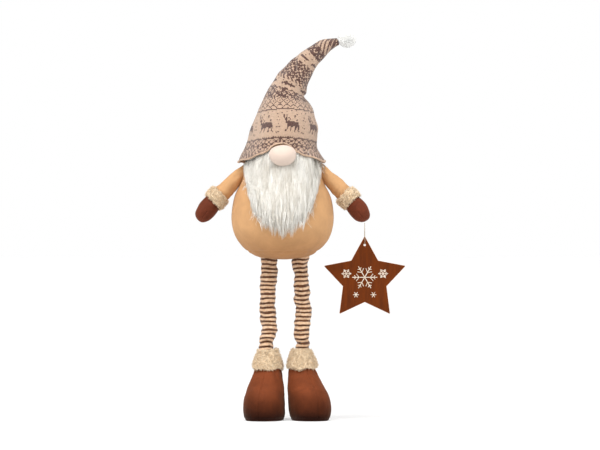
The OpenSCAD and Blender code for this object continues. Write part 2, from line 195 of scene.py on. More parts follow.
def stack(rings, sides=40):
    """A closed form: a disc that is extruded, moved and resized from ring to ring.
    A ring is the x and y of its middle, its height and its two radii."""
    x, y, z, a, b = rings[0]
    bpy.ops.object.select_all(action="DESELECT")
    bpy.ops.mesh.primitive_circle_add(vertices=sides, radius=a, fill_type="NGON", location=(x, y, z))
    bpy.ops.object.transform_apply()
    edit(bpy.context.object)
    bpy.ops.transform.resize(value=(1, b / a, 1), center_override=(x, y, z))
    for nx, ny, nz, na, nb in rings[1:]:
        bpy.ops.mesh.extrude_region_move(TRANSFORM_OT_translate={"value": (nx - x, ny - y, nz - z)})
        bpy.ops.transform.resize(value=(na / a, nb / b, 1), center_override=(nx, ny, nz))
        x, y, z, a, b = nx, ny, nz, na, nb
    return close_edit()


def turned_ring(section, steps):
    """A closed ring: a loop of points (radius, height) that is spun round the Z axis."""
    bpy.ops.object.select_all(action="DESELECT")
    bpy.ops.mesh.primitive_circle_add(vertices=len(section), radius=.01)
    o = bpy.context.object
    set_points(o, [(r, 0, z) for r, z in section])
    edit(o)
    bpy.ops.mesh.spin(steps=steps, angle=math.tau, center=(0, 0, 0), axis=(0, 0, 1))
    return close_edit()


def apply_modifier(o, name):
    select_only(o)
    bpy.ops.object.modifier_apply(modifier=name)


def subdivide(o, levels):
    m = o.modifiers.new("Finer", "SUBSURF")
    m.levels = m.render_levels = levels
    apply_modifier(o, m.name)


def stuff(o, voxel, swell, held=None, levels=1, pressure=4.0, frames=16):
    """Stuffs a sewn form. The cloth is held where held() gives 1, as along a seam, and swells
    between, no further than swell."""
    m = o.modifiers.new("Cloth grid", "REMESH")
    m.mode, m.voxel_size = "VOXEL", voxel
    apply_modifier(o, m.name)
    co = points_of(o)
    hold = np.clip(held(co), 0, 1) if held else np.zeros(len(co))
    group = o.vertex_groups.new(name="seams")
    for i in np.nonzero(hold > .02)[0]:
        group.add([int(i)], float(hold[i]), "REPLACE")
    m = o.modifiers.new("Stuffing", "CLOTH")
    m.settings.vertex_group_mass = "seams"
    m.settings.use_pressure = True
    m.settings.uniform_pressure_force = pressure
    m.settings.effector_weights.gravity = 0
    m.point_cache.frame_start, m.point_cache.frame_end = 1, frames
    for f in range(1, frames + 1):
        bpy.context.scene.frame_set(f)
    blown = o.evaluated_get(bpy.context.evaluated_depsgraph_get())
    moved = np.array([v.co for v in blown.data.vertices], float) - co
    o.modifiers.remove(m)
    o.vertex_groups.clear()
    bpy.context.scene.frame_set(1)
    far = np.linalg.norm(moved, axis=1, keepdims=True)
    set_points(o, co + moved * np.minimum(1, swell / np.maximum(far, 1e-9)))
    subdivide(o, levels)


def rumple(o, size, depth, seed=0, stretch=(1, 1, 1), where=None):
    """Uneven cloth: soft bumps of that size and depth."""
    co, n = points_of(o), normals_of(o)
    s = Vector([k / size for k in stretch])
    off = Vector((seed * 7.3, seed * 3.1, seed * 5.7))
    d = np.array([noise.noise(Vector(p) * s + off) for p in co]) * depth
    if where is not None:
        d = d * where(co)
    set_points(o, co + n * d[:, None])


def sew(o, distance, depth, width):
    """Pulls the cloth in along a seam; distance() says how far each point is from it."""
    co = points_of(o)
    set_points(o, co - normals_of(o) * (depth * bell(distance(co), width))[:, None])


def mesh_piece(name, points, faces):
    mesh = bpy.data.meshes.new(name)
    mesh.from_pydata(points, [], faces)
    mesh.update()
    o = bpy.data.objects.new(name, mesh)
    bpy.context.scene.collection.objects.link(o)
    return o


def tube_grid(name, grid, uv):
    """A knitted tube: rows of points round it, closed at its two ends. uv has one more
    column than the points, so that the pattern ends at the seam."""
    rows, cols = grid.shape[:2]
    i, j = np.meshgrid(np.arange(rows - 1), np.arange(cols), indexing="ij")
    i, j = i.ravel(), j.ravel()
    k = (j + 1) % cols
    quads = np.stack([i * cols + j, i * cols + k, (i + 1) * cols + k, (i + 1) * cols + j], 1)
    faces = quads.tolist() + [list(range(cols))[::-1], list(range((rows - 1) * cols, rows * cols))]
    o = mesh_piece(name, grid.reshape(-1, 3).tolist(), faces)
    at_corner = np.zeros((len(o.data.loops), 2), np.float32)
    rc = np.stack([i, i, i + 1, i + 1], 1), np.stack([j, j + 1, j + 1, j], 1)
    at_corner[: len(quads) * 4] = uv[rc[0].ravel(), rc[1].ravel()]
    o.data.uv_layers.new(name="knit").data.foreach_set("uv", at_corner.ravel())
    return o


def hairs(name, path, radius, outward, tint):
    """Closed three-sided hairs along path (hair, point, xyz), with a radius at each point."""
    n, k = path.shape[:2]
    t = unit(np.gradient(path, axis=1))
    u = unit(np.cross(t, outward[:, None, :]))
    v = np.cross(t, u)
    a = np.arange(3) * math.tau / 3 + math.pi / 2
    ring = path[:, :, None] + radius[:, :, None, None] * (
        np.cos(a)[None, None, :, None] * u[:, :, None] + np.sin(a)[None, None, :, None] * v[:, :, None])
    base = np.arange(n)[:, None] * 3 * k
    walls = np.array([(r * 3 + c, r * 3 + (c + 1) % 3, r * 3 + 3 + (c + 1) % 3, r * 3 + 3 + c)
                      for r in range(k - 1) for c in range(3)]).reshape(1, -1)
    ends = np.array([0, 2, 1, 3 * k - 3, 3 * k - 2, 3 * k - 1]).reshape(1, -1)
    loops = np.concatenate([base + walls, base + ends], 1).ravel().astype(np.int32)
    sizes = np.tile([4] * (3 * k - 3) + [3, 3], n)
    starts = np.concatenate([[0], np.cumsum(sizes)[:-1]])
    mesh = bpy.data.meshes.new(name)
    mesh.vertices.add(n * k * 3)
    mesh.vertices.foreach_set("co", ring.astype(np.float32).ravel())
    mesh.loops.add(len(loops))
    mesh.loops.foreach_set("vertex_index", loops)
    mesh.polygons.add(len(sizes))
    mesh.polygons.foreach_set("loop_start", starts.astype(np.int32))
    mesh.update(calc_edges=True)
    mesh.validate()
    shade = mesh.attributes.new("tint", "FLOAT", "POINT")
    shade.data.foreach_set("value", np.repeat(tint, k * 3).astype(np.float32))
    o = bpy.data.objects.new(name, mesh)
    bpy.context.scene.collection.objects.link(o)
    return o


def tufts_on(name, o, count, length, radius, lean, seed):
    """Short curls of pile that stand on a piece's faces, and lean."""
    rng = np.random.default_rng(seed)
    faces = o.data.polygons
    area, mid, nor = (np.empty(len(faces) * s, np.float32) for s in (1, 3, 3))
    faces.foreach_get("area", area)
    faces.foreach_get("center", mid)
    faces.foreach_get("normal", nor)
    pick = rng.choice(len(faces), count, p=area / area.sum())
    root, n = mid.reshape(-1, 3)[pick].astype(float), nor.reshape(-1, 3)[pick].astype(float)
    way = unit(n + np.array(lean) + rng.normal(0, .45, (count, 3)))
    curl = unit(np.cross(way, rng.normal(size=(count, 3))))
    long = length * rng.uniform(.6, 1.15, (count, 1))
    t = np.array([-.25, .35, .8, 1])
    path = root[:, None] + way[:, None] * (long[:, None] * t[None, :, None]) \
        + curl[:, None] * (long[:, None] * (t ** 2 * .45)[None, :, None])
    thick = radius * rng.uniform(.7, 1.2, (count, 1)) * np.array([1, 1, .8, .45])
    return hairs(name, path, thick, np.cross(way, curl), rng.uniform(0, 1, count))


def finish_piece(o, name, material, nodes=(), body=None, smooth=True):
    """Names a piece, gives it its finish, hides the parts that it stands for and hangs it on what it rides on."""
    o.name = o.data.name = name
    o.data.materials.clear()
    o.data.materials.append(material)
    if smooth:
        o.data.polygons.foreach_set("use_smooth", [True] * len(o.data.polygons))
    if nodes:
        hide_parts(*nodes)
    if body:
        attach(o, body)
    return o


# ---------------------------------------------------------------- finishes

def colour(r, g, b):
    """A colour from 0 to 255 as a shader takes it."""
    return tuple(((c / 255 + .055) / 1.055) ** 2.4 if c > 10 else c / 3294 for c in (r, g, b)) + (1,)


class Finish:
    """A material and short ways to add nodes to it."""

    def __init__(self, name, **sockets):
        self.material = bpy.data.materials.new(name)
        self.material.use_nodes = True
        self.tree = self.material.node_tree
        self.shader = self.tree.nodes["Principled BSDF"]
        for k, v in sockets.items():
            self.shader.inputs[k.replace("_", " ")].default_value = v

    def node(self, kind, out, ins, **settings):
        n = self.tree.nodes.new("ShaderNode" + kind)
        for k, v in settings.items():
            setattr(n, k, v)
        for k, v in ins.items():
            if isinstance(v, bpy.types.NodeSocket):
                self.tree.links.new(v, n.inputs[k])
            else:
                n.inputs[k].default_value = v
        return n.outputs[out]

    def object_place(self, scale=(1, 1, 1)):
        place = self.node("TexCoord", "Object", {})
        return self.node("Mapping", 0, {"Vector": place, "Scale": scale})

    def noise(self, place, scale, detail=3, rough=.6, distort=0):
        return self.node("TexNoise", 0, {"Vector": place, "Scale": scale, "Detail": detail,
                                         "Roughness": rough, "Distortion": distort})

    def maths(self, kind, a, b=0.5, c=0.5):
        return self.node("Math", 0, {0: a, 1: b, 2: c}, operation=kind)

    def ramp(self, value, low, high, a=0.0, b=1.0):
        return self.node("MapRange", 0, {"Value": value, "From Min": low, "From Max": high,
                                         "To Min": a, "To Max": b})

    def split(self, place):
        """The three numbers of a place."""
        axes = self.tree.nodes.new("ShaderNodeSeparateXYZ")
        self.tree.links.new(place, axes.inputs[0])
        return axes.outputs

    def knit_map(self):
        return self.split(self.node("UVMap", 0, {}, uv_map="knit"))

    def mix(self, factor, a, b, how="MIX"):
        return self.node("Mix", 2, {0: factor, 6: a, 7: b}, data_type="RGBA", blend_type=how)

    def bump(self, height, distance, strength=1.0, under=None):
        ins = {"Height": height, "Distance": distance, "Strength": strength}
        if under is not None:
            ins["Normal"] = under
        return self.node("Bump", 0, ins)

    def set(self, socket, value):
        self.tree.links.new(value, self.shader.inputs[socket])


def pile_cloth(name, light, deep, nap=22, grain=700, depth=.0005, roughness=.9, sheen=.35,
               sheen_tint=(1, 1, 1, 1), painted_low_shade=None, gloss=.25):
    """Brushed cloth: soft patches where the nap lies another way, and fine pile. Below the first
    height given for the low shade the colour is darkened as painted shade, fading out up to the second one."""
    f = Finish(name, Roughness=roughness, Sheen_Weight=sheen, Sheen_Roughness=.45, Sheen_Tint=sheen_tint,
               Specular_IOR_Level=gloss)
    place = f.object_place()
    patches = f.noise(place, nap, 4, .6, .6)
    fine = f.noise(place, grain, 2, .7)
    weave = f.noise(f.object_place((1, 1, 2.2)), grain * .45, 2)
    tone = f.mix(f.ramp(patches, .3, .7), deep, light)
    tone = f.mix(f.ramp(fine, .25, .8, 0, .35), tone, deep)
    tone = f.mix(f.ramp(weave, .35, .75, 0, .25), tone, light)
    if painted_low_shade:
        low, high, shade_tone = painted_low_shade
        # painted shade: below these heights the cloth is darkened toward the shade tone, as if shadowed at its
        # bottom
        height = f.maths("MULTIPLY_ADD", patches, .012, f.split(place)[2])
        tone = f.mix(f.ramp(height, low, high, 1, 0), tone, f.mix(1.0, tone, shade_tone, "MULTIPLY"))
    f.set("Base Color", tone)
    f.set("Roughness", f.ramp(patches, .3, .7, roughness - .08, min(1, roughness + .06)))
    soft = f.bump(patches, .004, .25)
    f.set("Normal", f.bump(f.maths("ADD", fine, weave), depth, .8, soft))
    return f.material


def fleece(name, light, deep):
    """Curled pile."""
    f = Finish(name, Roughness=.95, Sheen_Weight=.4, Sheen_Roughness=.5, Specular_IOR_Level=.15)
    place = f.object_place()
    curls = f.node("TexVoronoi", 0, {"Vector": place, "Scale": 330.0, "Randomness": 1.0})
    tone = f.noise(place, 60, 3)
    shade = f.mix(f.ramp(tone, .3, .7), deep, light)
    f.set("Base Color", f.mix(f.ramp(curls, .1, .7, 0, .45), shade, deep))
    f.set("Normal", f.bump(f.maths("ADD", curls, f.noise(place, 900, 2)), .0012, .7))
    return f.material


def pile_hair(name, light, deep, roughness=.6, sheen=.25):
    """Fur, tufts and yarn ends, each hair with its own tone, which on the beard also holds painted light and
    shade.
    """
    f = Finish(name, Roughness=roughness, Sheen_Weight=sheen, Specular_IOR_Level=.35)
    own = f.node("Attribute", "Fac", {}, attribute_name="tint")
    long = f.noise(f.object_place((1, 1, .15)), 260, 2)
    tone = f.maths("MULTIPLY_ADD", long, .5, f.maths("MULTIPLY", own, .6))
    f.set("Base Color", f.mix(f.ramp(tone, .15, .85), deep, light))
    f.set("Normal", f.bump(long, .0002, .5))
    return f.material


def wood(name, light, deep, grain=(1, 1, .12), scale=90, roughness=.7):
    f = Finish(name, Roughness=roughness, Specular_IOR_Level=.12)
    place = f.object_place(grain)
    rings = f.noise(place, scale, 5, .65, .8)
    fibre = f.noise(f.object_place(tuple(g * (4 if g == 1 else 1) for g in grain)), scale * 2.5, 2)
    tone = f.mix(f.ramp(rings, .35, .65), deep, light)
    f.set("Base Color", f.mix(f.ramp(fibre, .4, .75, 0, .4), tone, deep))
    f.set("Roughness", f.ramp(rings, .3, .7, roughness - .1, roughness + .1))
    f.set("Normal", f.bump(fibre, .0003, .6))
    return f.material


def hard(name, tone, metallic, roughness, stretch, scale):
    """Drawn metal or moulded plastic, by its stretch."""
    f = Finish(name, Metallic=metallic, Specular_IOR_Level=.5)
    marks = f.noise(f.object_place(stretch), scale, 3)
    dark = tuple(c * .8 for c in tone[:3]) + (1,)
    f.set("Base Color", f.mix(f.ramp(marks, .3, .7), dark, tone))
    f.set("Roughness", f.ramp(marks, .3, .7, roughness - .08, roughness + .08))
    f.set("Normal", f.bump(marks, .0001, .3))
    return f.material


def knit(name):
    """Two-colour knit. The map counts stitches, and each stitch is two slanting legs."""
    f = Finish(name, Roughness=.92, Sheen_Weight=.35, Sheen_Roughness=.5, Specular_IOR_Level=.15)
    yarn = f.node("Attribute", "Color", {}, attribute_name="yarn")
    across, up = f.knit_map()[:2]
    half = f.maths("ABSOLUTE", f.maths("SUBTRACT", f.maths("FRACT", across), .5))
    slant = f.maths("FRACT", f.maths("ADD", up, half))
    loop = f.maths("SINE", f.maths("MULTIPLY", slant, math.pi))
    leg = f.maths("SINE", f.maths("MULTIPLY", half, math.tau))
    height = f.maths("MULTIPLY", loop, leg)
    fuzz = f.noise(f.object_place(), 1100, 2)
    shade = f.mix(f.ramp(height, 0, .75, .42, 0), yarn, colour(96, 62, 50), "MULTIPLY")
    f.set("Base Color", f.mix(f.ramp(fuzz, .45, .8, 0, .22), shade, colour(246, 226, 208)))
    f.set("Normal", f.bump(f.maths("MULTIPLY_ADD", fuzz, .35, height), .0009, .85))
    return f.material


def jersey(name, stripe):
    """Striped stocking: dark and light courses, fine wales."""
    f = Finish(name, Roughness=.88, Sheen_Weight=.25, Specular_IOR_Level=.2)
    across, up = f.knit_map()[:2]
    wobble = f.ramp(f.noise(f.object_place(), 420, 2), .3, .7, -.05, .05)
    course = f.maths("FRACT", f.maths("ADD", f.maths("DIVIDE", up, stripe), wobble))
    edge = f.ramp(f.maths("ABSOLUTE", f.maths("SUBTRACT", course, .5)), .215, .265)
    wale = f.maths("SINE", f.maths("MULTIPLY", across, math.tau / .0011))
    row = f.maths("SINE", f.maths("MULTIPLY", up, math.tau / .0012))
    mottle = f.noise(f.object_place(), 160, 3)
    cream = f.mix(f.ramp(mottle, .3, .7), colour(224, 178, 138), colour(242, 208, 174))
    brown = f.mix(f.ramp(mottle, .3, .7), colour(74, 42, 22), colour(108, 66, 38))
    f.set("Base Color", f.mix(edge, brown, cream))
    f.set("Normal", f.bump(f.maths("MULTIPLY_ADD", row, .6, wale), .0003, .7))
    return f.material


def twisted(name, light, deep):
    """Plied string: slanting grooves, darkened as painted shade."""
    f = Finish(name, Roughness=.85, Sheen_Weight=.2, Specular_IOR_Level=.2)
    ply = f.node("TexWave", 1, {"Vector": f.object_place(), "Scale": 260.0, "Distortion": .6},
                 bands_direction="DIAGONAL")
    # painted shade: the colour follows the ply bump, so the grooves are darker
    f.set("Base Color", f.mix(ply, deep, light))
    f.set("Normal", f.bump(ply, .0003, 1))
    return f.material


# ---------------------------------------------------------------- what a user may change

class GnomeSizes(bpy.types.PropertyGroup):
    """Sizes and counts of the cloth work."""

    stitch: FloatProperty(name="Stitch width", description="Width of one knitted stitch of the hat",
                          default=.0026, min=.001, max=.008, subtype="DISTANCE", unit="LENGTH")
    course: FloatProperty(name="Stitch height", description="Height of one knitted row of the hat",
                          default=.0022, min=.001, max=.008, subtype="DISTANCE", unit="LENGTH")
    stripe: FloatProperty(name="Stripe", description="Height of one light and one dark stripe of a stocking",
                          default=.0096, min=.003, max=.03, subtype="DISTANCE", unit="LENGTH")
    pile: FloatProperty(name="Cuff pile", description="Length of the curled pile on the cuffs",
                        default=.0042, min=.001, max=.01, subtype="DISTANCE", unit="LENGTH")
    beard_hairs: IntProperty(name="Beard hairs", default=6100, min=500, max=6200,
                             description="Hairs in each of the beard's three layers, twice its wisps")
    pompom_ends: IntProperty(name="Pompom ends", description="Yarn ends of the pompom",
                             default=9500, min=500, max=12000)


def _colour_property(label, text, rgb):
    return FloatVectorProperty(name=label, description=text, subtype="COLOR", size=4, min=0, max=1,
                               default=colour(*rgb))


class GnomeColours(bpy.types.PropertyGroup):
    """Colours of the cloths."""

    velour: _colour_property("Velour", "Body and sleeves", (208, 160, 112))
    boots: _colour_property("Boot cloth", "Boots", (126, 64, 36))
    mittens: _colour_property("Mitten cloth", "Mittens", (110, 52, 32))
    fleece: _colour_property("Fleece", "Cuffs of the boots and sleeves", (242, 218, 184))
    fur: _colour_property("Fur", "Beard", (255, 253, 247))
    nose: _colour_property("Nose cloth", "Nose", (218, 198, 184))
    light_yarn: _colour_property("Light yarn", "Ground of the hat", (212, 180, 154))
    dark_yarn: _colour_property("Dark yarn", "Figures of the hat", (84, 46, 38))
    star: _colour_property("Star stain", "Stained board of the star", (108, 48, 8))


def darker(c, by):
    return tuple(k * by for k in tuple(c)[:3]) + (1,)


# ---------------------------------------------------------------- camera and twine

class GNOME_OT_camera(bpy.types.Operator):
    """Stands the camera level in front of the gnome"""
    bl_idname = "gnome.camera"
    bl_label = "Camera"

    def execute(self, context):
        away, wide = 8.0, 1.311
        middle = Vector((0, AXIS.y, .4255))
        bpy.ops.object.camera_add(location=middle + Vector((0, -away, 0)), rotation=(math.pi / 2, 0, 0))
        camera = context.object
        camera.data.sensor_width = 36
        camera.data.lens = camera.data.sensor_width * away / wide
        camera.data.clip_end = 100
        context.scene.camera = camera
        return {"FINISHED"}


class GNOME_OT_twine(bpy.types.Operator):
    """Hangs a doubled length of twine from the left mitten, through the star's hole"""
    bl_idname = "gnome.twine"
    bl_label = "Twine"

    def execute(self, context):
        front, back = -22.4, -17.6
        down = [(179, 430.7), (179, 423), (179.2, 416), (179.4, 409),
                (179.5, 402), (179.5, 395), (179.3, 389), (179.1, 385.5)]
        through = [(-22.2, 383.9), (-21.5, 383.1), (-20, 382.9), (-18.5, 383.1), (-17.8, 383.9)]
        up = [(178.9, 385.5), (178.7, 389), (178.5, 395), (178.5, 402),
              (178.6, 409), (178.8, 416), (179, 423), (179, 430.7)]
        route = [(x, front, z) for x, z in down]
        route += [(STAR_HOLE[0], y, z) for y, z in through]
        route += [(x, back, z) for x, z in up]
        points = [at(*p) for p in route]
        curve = bpy.data.curves.new("twine", "CURVE")
        curve.dimensions = "3D"
        curve.bevel_depth, curve.bevel_resolution = .0005, 2
        curve.use_fill_caps = True
        spline = curve.splines.new("POLY")
        spline.points.add(len(points) - 1)
        for p, place in zip(spline.points, points):
            p.co = (*place, 1)
        o = bpy.data.objects.new("twine", curve)
        context.scene.collection.objects.link(o)
        curve.materials.append(twisted("twine", colour(214, 200, 176), colour(140, 118, 90)))
        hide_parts("star_cord")
        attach(o, "star_cord")
        return {"FINISHED"}


# ---------------------------------------------------------------- body, sleeves, mittens

def velour(context):
    found = bpy.data.materials.get("velour_pile")
    c = tuple(context.scene.gnome_colours.velour)
    # painted shade: the body's cloth is darkened below about 356 mm, fading out by 425 mm, as if shadowed at its
    # bottom
    return found or pile_cloth("velour_pile", c, darker(c, .8), nap=26, grain=800, depth=.0005, roughness=.85,
                               sheen=.06, sheen_tint=(1, .86, .7, 1), painted_low_shade=(.356, .425, (.6, .5, .4, 1)))


class GNOME_OT_body(bpy.types.Operator):
    """Sews and stuffs the pear shaped body"""
    bl_idname = "gnome.body"
    bl_label = "Body"

    def execute(self, context):
        slack = .0016
        rings = [(AXIS.x, AXIS.y, z, max(.004, r - slack), max(.004, r - slack)) for r, z in BODY_LINE[2:-1:2]]
        rings[0] = (*rings[0][:2], HIP + .0035, rings[0][3] * .8, rings[0][4] * .8)
        o = stack(rings, 64)
        seam_z = HIP + .0165

        def round_seam(co):
            return np.abs(co[:, 2] - seam_z)

        def side_seam(co):
            return np.where(co[:, 2] > seam_z, np.abs(co[:, 1] - AXIS.y), 1)

        stuff(o, .0052, .0026, lambda co: .7 * bell(np.minimum(round_seam(co), side_seam(co)), .003), pressure=5)
        rumple(o, .06, .0022, 1)
        rumple(o, .022, .0007, 2, (1, 1, .5))
        # short puckers run from the bottom seam
        rumple(o, .011, .0012, 3, (1, 1, .25), lambda co: bell(round_seam(co), .012))
        sew(o, round_seam, .0011, .0017)
        sew(o, side_seam, .0008, .0017)
        finish_piece(o, "body", velour(context), ("body_cover", "body_filling"), "torso")
        return {"FINISHED"}


class GNOME_OT_sleeves(bpy.types.Operator):
    """Sews and stuffs the two sleeves, gathered where they are sewn to the body"""
    bl_idname = "gnome.sleeves"
    bl_label = "Sleeves"

    def execute(self, context):
        line = [(9, 22), (10.5, 10), (12, 0), (15.5, -25), (18.4, -52), (19, -68), (17.4, -82)]
        line = smooth_line(line, 3) * MM
        for side, name in SIDES:
            o = stack([(0, 0, z, r, r) for r, z in line], 36)
            under = lambda co: bell(np.hypot(co[:, 1], co[:, 0] + side * .016), .004)
            stuff(o, .0034, .0022, lambda co: np.maximum(.8 * under(co), co[:, 2] > .004))
            # gathered at the shoulder, uneven all along, and folded above the cuff
            rumple(o, .009, .0045, 4 + side, (1.2, 1.2, .25), lambda co: bell(co[:, 2] + .006, .02))
            rumple(o, .026, .0035, 6 + side, (1, 1, .8))
            rumple(o, .014, .0016, 8 + side, (.6, .6, 1.5), lambda co: bell(co[:, 2] + .062, .02))
            arm = arm_place(side)
            o.data.transform(arm)
            finish_piece(o, name + "_sleeve", velour(context),
                         (name + "_arm_cover", name + "_arm_filling"), None)
            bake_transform(o)
        return {"FINISHED"}


def sherpa(context):
    found = bpy.data.materials.get("sherpa_pile")
    c = tuple(context.scene.gnome_colours.fleece)
    return found or fleece("sherpa_pile", c, darker(c, .72))


def sherpa_ends(context):
    found = bpy.data.materials.get("sherpa_curls")
    c = tuple(context.scene.gnome_colours.fleece)
    return found or pile_hair("sherpa_curls", c, darker(c, .74), roughness=.85)


def fleece_cuff(context, names, node, body, place, section, steps, bumps, curls, shape=None):
    """A turned ring of fleece, shaped, uneven and covered with short curls. The section is in
    millimetres; bumps are the size, depth and seed of each unevenness."""
    o = turned_ring([(r * MM, z * MM) for r, z in section[:-1]], steps)
    if shape:
        shape(o)
    subdivide(o, 1)
    for size, depth, seed in bumps:
        rumple(o, size, depth, seed)
    o.data.transform(place)
    finish_piece(o, names[0], sherpa(context), (node,), body)
    finish_piece(tufts_on(names[1], o, *curls), names[1], sherpa_ends(context), (), body)


class GNOME_OT_arm_cuffs(bpy.types.Operator):
    """Makes the fleece cuffs of the sleeves"""
    bl_idname = "gnome.arm_cuffs"
    bl_label = "Arm Cuffs"

    def execute(self, context):
        pile = context.scene.gnome_sizes.pile
        section = smooth_line([(17.5, -78), (20.8, -74.5), (22.8, -77), (23.6, -87), (23, -96.5), (21, -99.5),
                               (17.5, -97), (16.5, -87), (17.5, -78)], 3)
        for side, name in SIDES:
            cuff = name + "_sleeve_cuff"
            bumps = ((.03, .003, 11 + side), (.0055, .0026, 13 + side), (.0026, .0012, 15 + side))
            fleece_cuff(context, (cuff, cuff + "_curls"), name + "_arm_cuff", name + "_arm", arm_place(side),
                        section, 72, bumps, (3600, pile * .8, .00035, (0, 0, -.2), 31 + side))
        return {"FINISHED"}


class GNOME_OT_mittens(bpy.types.Operator):
    """Sews and stuffs the two mittens"""
    bl_idname = "gnome.mittens"
    bl_label = "Mittens"

    def execute(self, context):
        c = tuple(context.scene.gnome_colours.mittens)
        felt = pile_cloth("mitten_cloth", c, darker(c, .55), nap=40, grain=900, depth=.0004, roughness=.62,
                          sheen=.2, sheen_tint=(1, .62, .45, 1), gloss=.08)
        line = [(15, 6), (19.4, -1), (21.2, -14), (20.6, -29), (17, -41.5), (9.5, -50.3), (2, -53)]
        line = smooth_line(line, 3) * MM
        for side, name in SIDES:
            o = stack([(0, 0, z, r, r * .96) for r, z in line], 36)
            seam = lambda co: np.where(co[:, 2] < -.002, np.abs(co[:, 1]), 1)
            stuff(o, .003, .0022, lambda co: bell(seam(co), .002), levels=2)
            rumple(o, .02, .0016, 21 + side)
            sew(o, seam, .0013, .0011)
            # a short dart on the palm, close to the tip
            beyond = lambda co: np.maximum(0, np.abs(co[:, 2] + .036) - .008)
            dart = lambda co: np.hypot(co[:, 0] + side * .003, beyond(co)) + (co[:, 1] > 0)
            sew(o, dart, .0014, .0012)
            o.data.transform(mitten_place(side))
            finish_piece(o, name + "_mitten", felt,
                         (name + "_mitten_cover", name + "_mitten_filling"), name + "_arm")
        return {"FINISHED"}


# ---------------------------------------------------------------- nose, beard

class GNOME_OT_nose(bpy.types.Operator):
    """Sews and stuffs the oval nose"""
    bl_idname = "gnome.nose"
    bl_label = "Nose"

    def execute(self, context):
        low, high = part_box("nose_cover")
        mid = Vector(((low.x + high.x) / 2, high.y - .006, (low.z + high.z) / 2))
        half = (high - low) / 2
        deep = mid.y - low.y
        bpy.ops.object.select_all(action="DESELECT")
        bpy.ops.mesh.primitive_uv_sphere_add(segments=40, ring_count=24, radius=1)
        edit(bpy.context.object)
        bpy.ops.transform.resize(value=(half.x - .0003, deep - .0003, half.z - .0003))
        bpy.ops.mesh.bisect(plane_co=(0, .005, 0), plane_no=(0, 1, 0), clear_outer=True, use_fill=True)
        o = close_edit()
        stuff(o, .0026, .0016, lambda co: np.where(co[:, 1] > .003, 1, 0), levels=2)
        co = points_of(o)
        co[:, 2] -= .0012 * (1 - (co[:, 0] / half.x) ** 2)  # it hangs a little
        set_points(o, co)
        rumple(o, .03, .0012, 41)
        o.data.transform(Matrix.Translation(mid))
        c = tuple(context.scene.gnome_colours.nose)
        skin = pile_cloth("nose_cloth", c, darker(c, .9), nap=30, grain=1500, depth=.0002, roughness=.7,
                          sheen=.3)
        finish_piece(o, "nose", skin, ("nose_cover", "nose_filling"), "torso")
        return {"FINISHED"}


# The beard's half width at each height, and the height of its lowest tips at each half width
BEARD_WIDE = np.array([(393, 3), (405, 20), (417, 36), (434, 52), (440, 58), (470, 68), (510, 79), (545, 87),
                       (565, 85), (586, 66), (596, 52)])
BEARD_TIPS = np.array([(0, 393), (12, 402), (21, 397), (33, 414), (43, 411), (52, 432), (60, 440), (68, 470),
                       (78, 510), (86, 542)])


